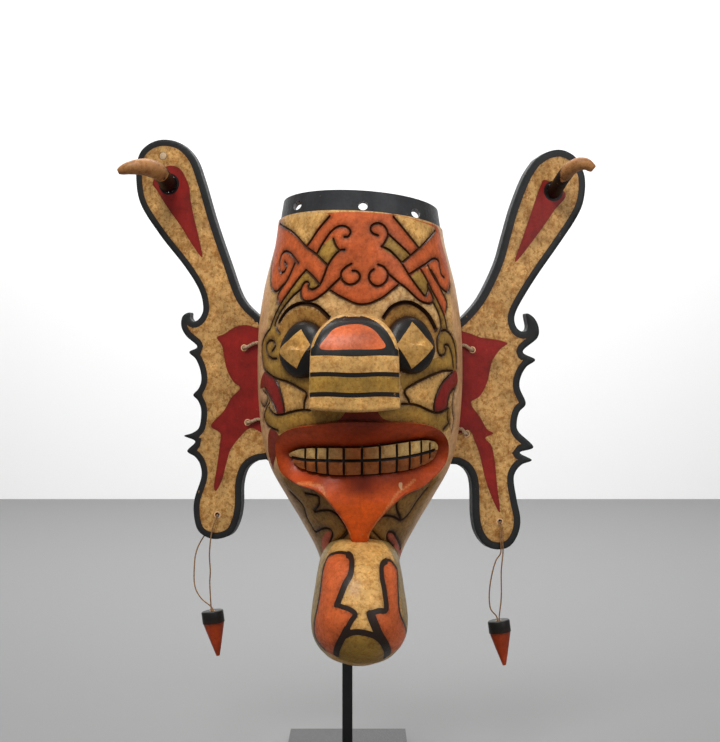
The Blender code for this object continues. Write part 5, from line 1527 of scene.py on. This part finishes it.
def lashing_path(side: str, hole: tuple, drawn: float) -> list[Vector]:
    """Return the middle line of a tie from an ear board to the mask's side wall.

    Args:
        side: The side of the mask.
        hole: The hole in the ear, as drawn in the front view.
        drawn: Height of the hole in the wall, as drawn.

    Returns:
        Points in the mask's frame, from behind the ear to the hollow.
    """
    sign = SIDES[side]
    turn = Matrix.Rotation(sign * EAR_SWEEP, 4, "Z")
    throat = ear_point(side, hole)
    clear = LASHING_D / 2 + 2 * GAP
    steps = ((0, EAR_THICKNESS + LASHING_D), (0, LASHING_D * 0.6), (0, -LASHING_D * 0.1),
             (LASHING_D * 0.12, -LASHING_D * 0.45), (LASHING_D * 0.5, -clear))
    points = [throat + turn @ Vector((-sign * inward, behind, 0)) for inward, behind in steps]
    wall = [Vector(wall_point(side, drawn, out)) for out in (0.003, -0.004, -WALL - LASHING_D)]
    return points + [points[-1].lerp(wall[0], 0.5), *wall]


@dataclass
class Ear:
    """One sawn ear board with its painted border and wedges."""

    side: str
    material: bpy.types.Material
    step: float = 0.0026
    bevel: float = 0.0009
    hole_edge: float = 0.0012

    def flat(self, places: tuple, closed: bool = True) -> Array:
        """Return a smooth line on the board through places of the front view."""
        sign = SIDES[self.side]
        return smooth_path([(sign * out, up) for out, up in (ear_plane(self.side, p) for p in places)],
                           self.step * 0.7, closed)

    def holes(self) -> list[tuple[Array, float]]:
        """Return the middle and the radius of each hole through the board."""
        sign = SIDES[self.side]
        found = [(LOBE_HOLES[self.side], LOBE_HOLE_D / 2)]
        found += [(hole, LASHING_HOLE_D / 2) for side, hole, _ in LASHINGS.values() if side == self.side]
        found.append((TUSK_ROOTS[self.side], TUSK_LINES[self.side][0][3] * UNIT + GAP))
        if self.side == "left":
            found.append((PLUG_PLACE, PLUG_D / 2 + GAP))
        out = []
        for place, radius in found:
            across, up = ear_plane(self.side, place)
            out.append((np.array((sign * across, up)), radius))
        return out

    def tusk_hole(self, holes: list[tuple[Array, float]]) -> Array:
        """Return the middle of the tusk's hole."""
        return holes[-2][0] if self.side == "left" else holes[-1][0]

    def border_lines(self, open_edge: Array, turn: Array) -> list[Line]:
        """Return the painted border's inner line, in runs that keep clear of the notches."""
        border = EAR_BORDER[self.side] * UNIT
        inset = open_edge + turn[:len(open_edge)] * border
        keep = Nearness([(open_edge, False)]).of(inset) > border * 0.97
        runs = np.split(np.arange(len(inset)), np.nonzero(~keep)[0])
        runs = [run[keep[run]] for run in runs]
        return [(inset[run], False) for run in runs if len(run) > 2]

    def board(self, flat: Array, triangles: list, outline: Array) -> bpy.types.Object:
        """Return the board over a flat net, with eased edges."""
        drop = self.bevel * 0.7 * (1 - ramp(Nearness([(outline, True)]).of(flat), 0, self.bevel))
        count = len(flat)
        front = np.column_stack([flat[:, 0], drop, flat[:, 1]])
        back = np.column_stack([flat[:, 0], EAR_THICKNESS - drop, flat[:, 1]])
        faces = list(triangles) + [[i + count for i in reversed(t)] for t in triangles]
        sides = {(a, b): True for t in triangles for a, b in zip(t, t[1:] + t[:1])}
        faces += [(b, a, a + count, b + count) for a, b in sides if (b, a) not in sides]
        return mesh_object(f"mask_ear_{self.side}", *only_used(np.vstack([front, back]), faces))

    def build(self) -> bpy.types.Object:
        """Make the board, cut it to the mask's side, colour it and return it."""
        outline, open_edge = (self.flat(EAR_OUTLINES[self.side], closed) for closed in (True, False))
        wedges = [self.flat(area) for area in EAR_AREAS[self.side]]
        turn = FaceFront.facing_in(outline)
        holes = self.holes()
        lines = [(outline, True), (outline + turn * self.bevel, True)]
        lines += [(wedge, True) for wedge in wedges]
        lines += self.border_lines(open_edge, turn)
        lines += [(circle(middle, radius + edge, 32), True) for middle, radius in holes
                  for edge in (0, self.hole_edge)]
        lines.append((circle(self.tusk_hole(holes), TUSK_STAIN[self.side] * UNIT, 48), True))
        flat, triangles = net(lines, self.step)
        centres = np.array([flat[list(t)].mean(axis=0) for t in triangles])
        kept = inside(centres, outline)
        for middle, radius in holes:
            kept &= np.hypot(*(centres - middle).T) > radius * 0.99
        obj = self.board(flat, [t for t, good in zip(triangles, kept) if good], outline)
        bake_place(obj, ear_matrix(self.side))
        heights = np.linspace((CHIN_Z - 5) * UNIT, (RIM_Z + 5) * UNIT, 40)
        cut(obj, oval_object("side_wall_tool", heights, 65, GAP * 1.7, 0.04))
        self.colour(obj, wedges, open_edge, holes)
        put_up(obj)
        return Piece(obj, (f"ear_{self.side}",), "ear_wood", self.material).settle(40)

    def colour(self, obj: bpy.types.Object, wedges: list, open_edge: Array, holes: list) -> None:
        """Paint the board's front, its border and its edges."""
        turn = ear_matrix(self.side).inverted()
        spin = np.array(turn.to_3x3())
        shift = np.array(turn.translation)
        middles, normals = centres_and_normals(obj)
        facing = normals @ spin.T
        flat = (middles @ spin.T + shift)[:, [0, 2]]
        colours = np.tile(rgba("EAR"), (len(flat), 1))
        for wedge in wedges:
            colours[inside(flat, wedge)] = rgba("RED")
        near = Nearness([(open_edge, False)])
        border = EAR_BORDER[self.side] * UNIT
        bordered = near.of(flat) < border
        colours[bordered] = rgba("EDGE_BLACK")
        root = self.tusk_hole(holes)
        colours[np.hypot(*(flat - root).T) < TUSK_STAIN[self.side] * UNIT] = rgba("BLACK")
        for middle, radius in holes[:3]:
            colours[np.hypot(*(flat - middle).T) < radius + 0.0011] = rgba("CHIP")
        colours[np.abs(facing[:, 1]) < 0.5] = rgba("EDGE_BLACK")
        behind = facing[:, 1] > 0.5
        colours[behind] = np.where(bordered[behind, None], rgba("EDGE_BLACK"), rgba("HOLLOW"))
        spots = (vertex_places(obj) @ spin.T + shift)[:, [0, 2]]
        away = np.minimum(Nearness([(wedge, True) for wedge in wedges]).of(spots),
                          np.abs(near.of(spots) - border) * 2)
        coat(obj, colours, 0.45 * np.exp(-away / 0.003))


@dataclass
class Tusk:
    """One tusk, seated in its hole with a blackened shaft."""

    side: str
    material: bpy.types.Material
    stained: float = 34.0

    def build(self) -> bpy.types.Object:
        """Make, colour and return the tusk."""
        line = TUSK_LINES[self.side]
        root = ear_point(self.side, TUSK_ROOTS[self.side])
        depths = (EAR_THICKNESS, 0.001, -0.004)
        centres = [ear_point(self.side, TUSK_ROOTS[self.side], depth) for depth in depths]
        centres += [root + Vector((SIDES[self.side] * out * 0.996, -forward, up)) * UNIT
                    for out, forward, up, _ in line[1:]]
        halves = [line[0][3] * UNIT * 0.97] * len(depths) + [half * UNIT * 0.98 for *_, half in line[1:]]
        obj = swept(f"mask_tusk_{self.side}", np.array(centres), np.array(halves), 40, 0.0009)
        middles, _ = centres_and_normals(obj)
        wave = 3 * np.sin(np.arctan2(middles[:, 2] - root.z, middles[:, 0] - root.x) * 5)
        forward, out = (-(points[:, 1] - root.y) / UNIT for points in (middles, vertex_places(obj)))
        colours = np.where((forward < self.stained + wave)[:, None], rgba("SHADE"), rgba("TUSK"))
        coat(obj, colours, np.where(out > self.stained, np.exp(-(out - self.stained) / 5), 0.0))
        put_up(obj)
        return Piece(obj, (f"tusk_{self.side}",), "tusk_wood", self.material).settle(50)


@dataclass
class Plug:
    """The round plug in the left ear."""

    material: bpy.types.Material

    def build(self) -> bpy.types.Object:
        """Make, colour and return the plug."""
        ends = (ear_point("left", PLUG_PLACE, behind) for behind in (-0.0002, EAR_THICKNESS))
        obj = peg(*ends, PLUG_D, 40)
        obj.name = "mask_ear_plug"
        bake_place(obj, obj.matrix_world.copy())
        modify(obj, "BEVEL", width=0.0004, segments=2)
        count = len(obj.data.polygons)
        coat(obj, np.tile(rgba("PLUG"), (count, 1)), np.full(len(obj.data.vertices), 0.1))
        put_up(obj)
        return Piece(obj, ("ear_plug",), "plug_wood", self.material).settle()


@dataclass
class Lashing:
    """One twisted fibre tie between an ear and the mask's side wall."""

    name: str
    material: bpy.types.Material

    def build(self) -> bpy.types.Object:
        """Make and return the tie."""
        path = np.array([tuple(p) for p in lashing_path(*LASHINGS[self.name])])
        halves = np.full(len(path), LASHING_D / 2)
        obj = swept(f"mask_lashing_{self.name}", path, halves, 24, 0.00045, 3, 0.0085, 0.3)
        put_up(obj)
        return Piece(obj, (f"lashing_{self.name}",), "lashing_fibre", self.material).settle(60)


@dataclass
class Pendant:
    """One hanging cone with its black collar and the hole for its twine."""

    side: str
    material: bpy.types.Material
    neck: float = 0.955
    tip: float = 0.14

    def build(self) -> bpy.types.Object:
        """Turn the cone from its profile, colour it and hang it in its place."""
        rim, hole, length = PENDANT_D / 2, PENDANT_HOLE_D / 2, PENDANT_LENGTH
        profile = [(0, -PENDANT_HOLE_DEPTH), (hole, -PENDANT_HOLE_DEPTH), (hole, -0.0004), (hole + 0.0004, 0),
                   (rim * 0.90, 0), (rim * 0.96, -0.0004), (rim, -0.0012), (rim, -PENDANT_COLLAR * 0.6),
                   (rim, -PENDANT_COLLAR), (rim * self.neck, -PENDANT_COLLAR - 0.0003)]
        profile += [(rim * (self.neck + (self.tip - self.neck) * s ** 1.06),
                     -PENDANT_COLLAR - (length - PENDANT_COLLAR) * s)
                    for s in (0.15, 0.35, 0.55, 0.75, 0.9, 0.985)]
        profile.append((0, -length * 0.985))
        mesh = bpy.data.meshes.new("pendant")
        mesh.from_pydata([(x, 0, z) for x, z in profile], [(i, i + 1) for i in range(len(profile) - 1)], [])
        obj = bpy.data.objects.new(f"mask_pendant_{self.side}", mesh)
        bpy.context.collection.objects.link(obj)
        modify(obj, "SCREW", steps=48, render_steps=48, use_merge_vertices=True, merge_threshold=SAME)
        bm = bmesh.new()
        bm.from_mesh(obj.data)
        bmesh.ops.remove_doubles(bm, verts=bm.verts[:], dist=SAME)
        bmesh.ops.recalc_face_normals(bm, faces=bm.faces[:])
        bm.to_mesh(obj.data)
        bm.free()
        middles, _ = centres_and_normals(obj)
        colours = np.tile(rgba("CONE"), (len(middles), 1))
        colours[middles[:, 2] > -PENDANT_COLLAR] = rgba("BLACK")
        within = np.hypot(middles[:, 0], middles[:, 1]) < hole + 0.0005
        colours[within & (middles[:, 2] > -PENDANT_COLLAR)] = rgba("CHIP")
        places = vertex_places(obj)
        coat(obj, colours, 0.6 * np.exp(-np.abs(places[:, 2] + PENDANT_COLLAR) / 0.002))
        top = view_point(*PENDANT_PLACES[self.side], PENDANT_DEPTH)
        bake_place(obj, Matrix.Translation(mask_place() + top) @ Matrix.Rotation(-PENDANT_TILT, 4, "Y"))
        return Piece(obj, (f"pendant_{self.side}",), "pendant_wood", self.material).settle(38)


@dataclass
class Twine:
    """The free twine that a cone hangs on, through the hole in the ear's lobe."""

    side: str
    material: bpy.types.Material

    def build(self) -> bpy.types.Object:
        route = np.array([tuple(view_point(*row) + mask_place()) for row in TWINE_ROUTES[self.side]])
        obj = swept(f"mask_twine_{self.side}", route, np.full(len(route), TWINE_D / 2), 12, 0.0004, 2, 0.0034)
        Piece(obj, (f"pendant_twine_{self.side}",), "twine", self.material).settle(60)
        return obj


class Bench:
    """Adds nodes to one material and joins them."""

    def __init__(self, name: str) -> None:
        self.material = bpy.data.materials.new(name)
        self.material.use_nodes = True
        self.tree = self.material.node_tree
        self.shader = self.tree.nodes["Principled BSDF"]
        self.place = self.tree.nodes.new("ShaderNodeTexCoord").outputs["Object"]

    def link(self, source: bpy.types.NodeSocket, target: bpy.types.NodeSocket) -> None:
        """Join two sockets."""
        self.tree.links.new(source, target)

    def feed(self, socket: bpy.types.NodeSocket, value: object) -> None:
        """Join a socket to another, or set its value."""
        if isinstance(value, bpy.types.NodeSocket):
            self.link(value, socket)
        else:
            socket.default_value = value

    def noise(self, scale: float, detail: float = 3.0, rough: float = 0.55,
              stretch: tuple = (1, 1, 1)) -> bpy.types.NodeSocket:
        """Return a noise pattern's factor, stretched along the axes."""
        mapping = self.tree.nodes.new("ShaderNodeMapping")
        mapping.inputs["Scale"].default_value = stretch
        self.link(self.place, mapping.inputs["Vector"])
        node = self.tree.nodes.new("ShaderNodeTexNoise")
        node.inputs["Scale"].default_value = scale
        node.inputs["Detail"].default_value = detail
        node.inputs["Roughness"].default_value = rough
        self.link(mapping.outputs["Vector"], node.inputs["Vector"])
        return node.outputs["Fac"]

    def window(self, value: object, low: float, high: float, to: tuple = (0.0, 1.0)) -> bpy.types.NodeSocket:
        """Return a value spread from a narrow window over another range."""
        node = self.tree.nodes.new("ShaderNodeMapRange")
        self.feed(node.inputs["Value"], value)
        for socket, number in zip(("From Min", "From Max", "To Min", "To Max"), (low, high, *to)):
            node.inputs[socket].default_value = number
        return node.outputs["Result"]

    def math(self, operation: str, first: object, second: object) -> bpy.types.NodeSocket:
        """Return the result of one sum on two values."""
        node = self.tree.nodes.new("ShaderNodeMath")
        node.operation = operation
        self.feed(node.inputs[0], first)
        self.feed(node.inputs[1], second)
        return node.outputs["Value"]

    def mix(self, factor: object, first: object, second: object, blend: str = "MIX") -> bpy.types.NodeSocket:
        """Return a mix of two colours."""
        node = self.tree.nodes.new("ShaderNodeMix")
        node.data_type = "RGBA"
        node.blend_type = blend
        self.feed(node.inputs[0], factor)
        self.feed(node.inputs[6], first)
        self.feed(node.inputs[7], second)
        return node.outputs[2]

    def attribute(self, name: str) -> bpy.types.Node:
        """Return a node that reads one of the mesh's own attributes."""
        node = self.tree.nodes.new("ShaderNodeAttribute")
        node.attribute_name = name
        return node

    def tint(self, colour: object, by: object) -> bpy.types.NodeSocket:
        """Return a colour multiplied by another."""
        return self.mix(1.0, colour, by, "MULTIPLY")

    def shown(self, pattern: object, low: float, high: float, amount: object,
              share: float) -> bpy.types.NodeSocket:
        """Return where a pattern's window shows, as a share of an amount."""
        return self.math("MULTIPLY", self.math("MULTIPLY", self.window(pattern, low, high), amount), share)

    def finish(self, colour: object, roughness: object, height: object, distance: float,
               strength: float) -> bpy.types.Material:
        """Join up the surface.

        Args:
            colour: The base colour.
            roughness: The roughness.
            height: The fine relief.
            distance: The relief's depth in metres.
            strength: How strongly it tells.

        Returns:
            The finished material.
        """
        node = self.tree.nodes.new("ShaderNodeBump")
        node.inputs["Strength"].default_value = strength
        node.inputs["Distance"].default_value = distance
        self.feed(node.inputs["Height"], height)
        self.feed(self.shader.inputs["Base Color"], colour)
        self.feed(self.shader.inputs["Roughness"], roughness)
        self.feed(self.shader.inputs["Normal"], node.outputs["Normal"])
        return self.material


def grey(value: float) -> tuple:
    """Return a grey of the given value."""
    return (value, value, value, 1)


def tone(red: float, green: float, blue: float) -> tuple:
    """Return a linear colour from one given from 0 to 255."""
    return (linear(red), linear(green), linear(blue), 1)


@dataclass(frozen=True)
class PaintedWood:
    """Carved wood under old satin paint, mottled, rubbed, and darkened in its cuts by grime and painted
    shade.
    """

    name: str
    roughness: float = 0.46
    sheen_coat: float = 0.16
    grain: tuple = (1.0, 1.0, 0.12)
    mottle: float = 1.0

    def build(self) -> bpy.types.Material:
        """Return the material."""
        bench = Bench(self.name)
        paint = bench.attribute("paint")
        amount = bench.math("MULTIPLY", paint.outputs["Alpha"], self.mottle)
        patches = bench.noise(42, 4, 0.6)
        specks = bench.noise(290, 5, 0.68)
        flecks = bench.noise(620, 3, 0.6)
        blotches = bench.noise(85, 6, 0.7)
        grain = bench.noise(190, 4, 0.6, self.grain)
        colour = bench.tint(paint.outputs["Color"], bench.window(patches, 0.3, 0.72, (0.68, 1.24)))
        brown = bench.tint(colour, (0.50, 0.36, 0.20, 1))
        colour = bench.mix(bench.shown(specks, 0.50, 0.61, amount, 0.62), colour, brown)
        colour = bench.mix(bench.shown(blotches, 0.47, 0.66, amount, 0.72), colour, brown)
        pale = bench.tint(colour, (1.5, 1.42, 1.3, 1))
        colour = bench.mix(bench.shown(flecks, 0.56, 0.68, amount, 0.6), colour, pale)
        dark = bench.tint(colour, grey(0.62))
        colour = bench.mix(bench.window(grain, 0.52, 0.72, (0.0, 0.45)), colour, dark)
        rubbed = bench.window(bench.noise(120, 6, 0.75), 0.66, 0.71, (0.0, 0.55))
        colour = bench.mix(rubbed, colour, tone(176, 132, 84))
        caught = bench.window(specks, 0.3, 0.6, (0.3, 0.8))
        # Grime and painted shade, broken up by the specks
        grime_and_shade = bench.math("MULTIPLY", bench.attribute("grime_and_shade").outputs["Fac"], caught)
        colour = bench.mix(grime_and_shade, colour, tone(58, 32, 12))
        roughness = bench.window(specks, 0.35, 0.65, (self.roughness - 0.08, self.roughness + 0.14))
        height = bench.math("ADD", bench.math("MULTIPLY", specks, 0.6), bench.math("MULTIPLY", grain, 0.5))
        height = bench.math("ADD", height, bench.math("MULTIPLY", patches, 1.2))
        bench.shader.inputs["Specular IOR Level"].default_value = 0.22
        bench.shader.inputs["Coat Weight"].default_value = self.sheen_coat
        bench.shader.inputs["Coat Roughness"].default_value = 0.24
        return bench.finish(colour, roughness, height, 0.0006, 0.5)


@dataclass(frozen=True)
class Fibre:
    """Twisted plant fibre."""

    name: str
    colour: tuple
    dark: tuple

    def build(self) -> bpy.types.Material:
        """Return the material."""
        bench = Bench(self.name)
        strands = bench.noise(1400, 4, 0.7, (1.0, 1.0, 0.4))
        patches = bench.noise(90, 3)
        colour = bench.mix(bench.window(strands, 0.38, 0.66), tone(*self.dark), tone(*self.colour))
        colour = bench.mix(bench.window(patches, 0.45, 0.75, (0.0, 0.5)), colour, tone(*self.dark))
        return bench.finish(colour, bench.window(strands, 0.3, 0.7, (0.75, 0.95)), strands, 0.0003, 0.8)


@dataclass(frozen=True)
class SatinBlack:
    """Black painted steel, a little rubbed."""

    name: str

    def build(self) -> bpy.types.Material:
        """Return the material."""
        bench = Bench(self.name)
        patches = bench.noise(60, 4)
        fine = bench.noise(900, 3, 0.6)
        colour = bench.mix(bench.window(patches, 0.4, 0.7), tone(12, 12, 13), tone(21, 21, 22))
        return bench.finish(colour, bench.window(fine, 0.35, 0.65, (0.36, 0.52)), fine, 0.0002, 0.4)


class Surface(Enum):
    """The scene's finishes by name of slot."""

    FACE = PaintedWood("face_paint")
    EAR = PaintedWood("ear_paint", 0.5, 0.15, (1.0, 1.0, 0.2), 1.15)
    TUSK = PaintedWood("tusk_wood_oiled", 0.5, 0.1, (0.25, 1.0, 1.0), 1.0)
    PLUG = PaintedWood("plug_wood_pale", 0.6, 0.0, (1.0, 1.0, 1.0), 0.8)
    PENDANT = PaintedWood("pendant_paint", 0.5, 0.15, (1.0, 1.0, 0.3), 1.0)
    TWINE = Fibre("twine_fibre", (190, 146, 96), (112, 76, 44))
    LASHING = Fibre("lashing_fibre_pale", (214, 188, 156), (140, 108, 78))
    STAND = SatinBlack("stand_paint")


@dataclass
class Studio:
    """The pale floor and wall, the soft lights and the camera."""

    wall_y: float = 3.0
    eye: float = EYE_DISTANCE / 1000 * UNIT / 0.001
    photo_width: float = 720.0
    sensor: float = 36.0

    def plane(self, name: str, place: tuple, tilt: float, value: float, rough: float) -> None:
        """Add one plain grey plane.

        Args:
            name: Its name.
            place: Its middle.
            tilt: Its turn about the x axis.
            value: How light its grey is.
            rough: Its roughness.
        """
        bpy.ops.mesh.primitive_plane_add(size=14, location=place, rotation=(tilt, 0, 0))
        plane = bpy.context.object
        plane.name = f"studio_{name}"
        bench = Bench(f"{name}_plain")
        bench.shader.inputs["Base Color"].default_value = grey(value)
        bench.shader.inputs["Roughness"].default_value = rough
        plane.data.materials.append(bench.material)
        plane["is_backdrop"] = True

    def light(self, name: str, place: tuple, aim: tuple, size: float, power: float) -> None:
        """Add one soft area light."""
        bpy.ops.object.light_add(type="AREA", location=place)
        lamp = bpy.context.object
        lamp.name = name
        lamp.data.shape = "SQUARE"
        lamp.data.size = size
        lamp.data.energy = power
        lamp.rotation_euler = (Vector(aim) - Vector(place)).to_track_quat("-Z", "Y").to_euler()
        lamp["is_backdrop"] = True

    def build(self) -> None:
        """Make the floor, the wall, the lights and the camera."""
        self.plane("floor", (0, 0, 0), 0, 0.17, 0.45)
        self.plane("wall", (0, self.wall_y, 0), math.pi / 2, 0.86, 0.8)
        target = (0.0, 0.0, 0.4)
        self.light("key_light", (-0.5, -1.5, 2.5), target, 1.0, 46)
        self.light("fill_light", (1.5, -1.6, 1.2), target, 1.4, 10)
        self.light("wall_light", (0.0, 1.2, 2.6), (0.0, self.wall_y, 0.3), 2.2, 105)
        world = bpy.data.worlds.new("soft_world")
        world.use_nodes = True
        background = world.node_tree.nodes["Background"]
        background.inputs["Color"].default_value = (1, 1, 1, 1)
        background.inputs["Strength"].default_value = 0.36
        bpy.context.scene.world = world
        place = mask_place()
        bpy.ops.object.camera_add(location=(place.x, place.y - self.eye, place.z),
                                  rotation=(math.pi / 2, 0, 0))
        camera = bpy.context.object
        camera.name = "photo_camera"
        camera.data.sensor_fit = "HORIZONTAL"
        camera.data.sensor_width = self.sensor
        camera.data.lens = self.sensor * EYE_DISTANCE / self.photo_width
        bpy.context.scene.camera = camera
        bpy.context.scene.view_settings.view_transform = "Standard"


@dataclass
class Mask:
    """The whole object, built piece by piece."""

    frame: dict

    def build(self) -> None:
        """Make every piece and dress the nodes that stay."""
        surfaces = {finish: finish.value.build() for finish in Surface}
        for side in SIDES:
            Twine(side, surfaces[Surface.TWINE]).build()
        for side in SIDES:
            Pendant(side, surfaces[Surface.PENDANT]).build()
        for name in LASHINGS:
            Lashing(name, surfaces[Surface.LASHING]).build()
        Plug(surfaces[Surface.PLUG]).build()
        for side in SIDES:
            Tusk(side, surfaces[Surface.TUSK]).build()
            Ear(side, surfaces[Surface.EAR]).build()
        Face(surfaces[Surface.FACE]).build()
        for name in ("stand_rod", "stand_base"):
            for held in self.frame["nodes"][name].material_slots:
                held.material = surfaces[Surface.STAND]


def plain(value: object) -> object:
    """Return numbers, vectors and groups of them as plain lists."""
    if isinstance(value, dict):
        return {str(key): plain(item) for key, item in value.items()}
    if isinstance(value, (int, float, str)) or value is None:
        return value
    return [plain(item) for item in value]


def main() -> None:
    """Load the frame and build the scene."""
    logging.basicConfig(level=logging.INFO, format="%(message)s")
    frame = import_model()
    before = plain(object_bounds())
    Mask(frame).build()
    Studio().build()
    after = plain(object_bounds())
    LOG.info("bounds before %s, after %s", before, after)


if __name__ == "__main__":
    main()
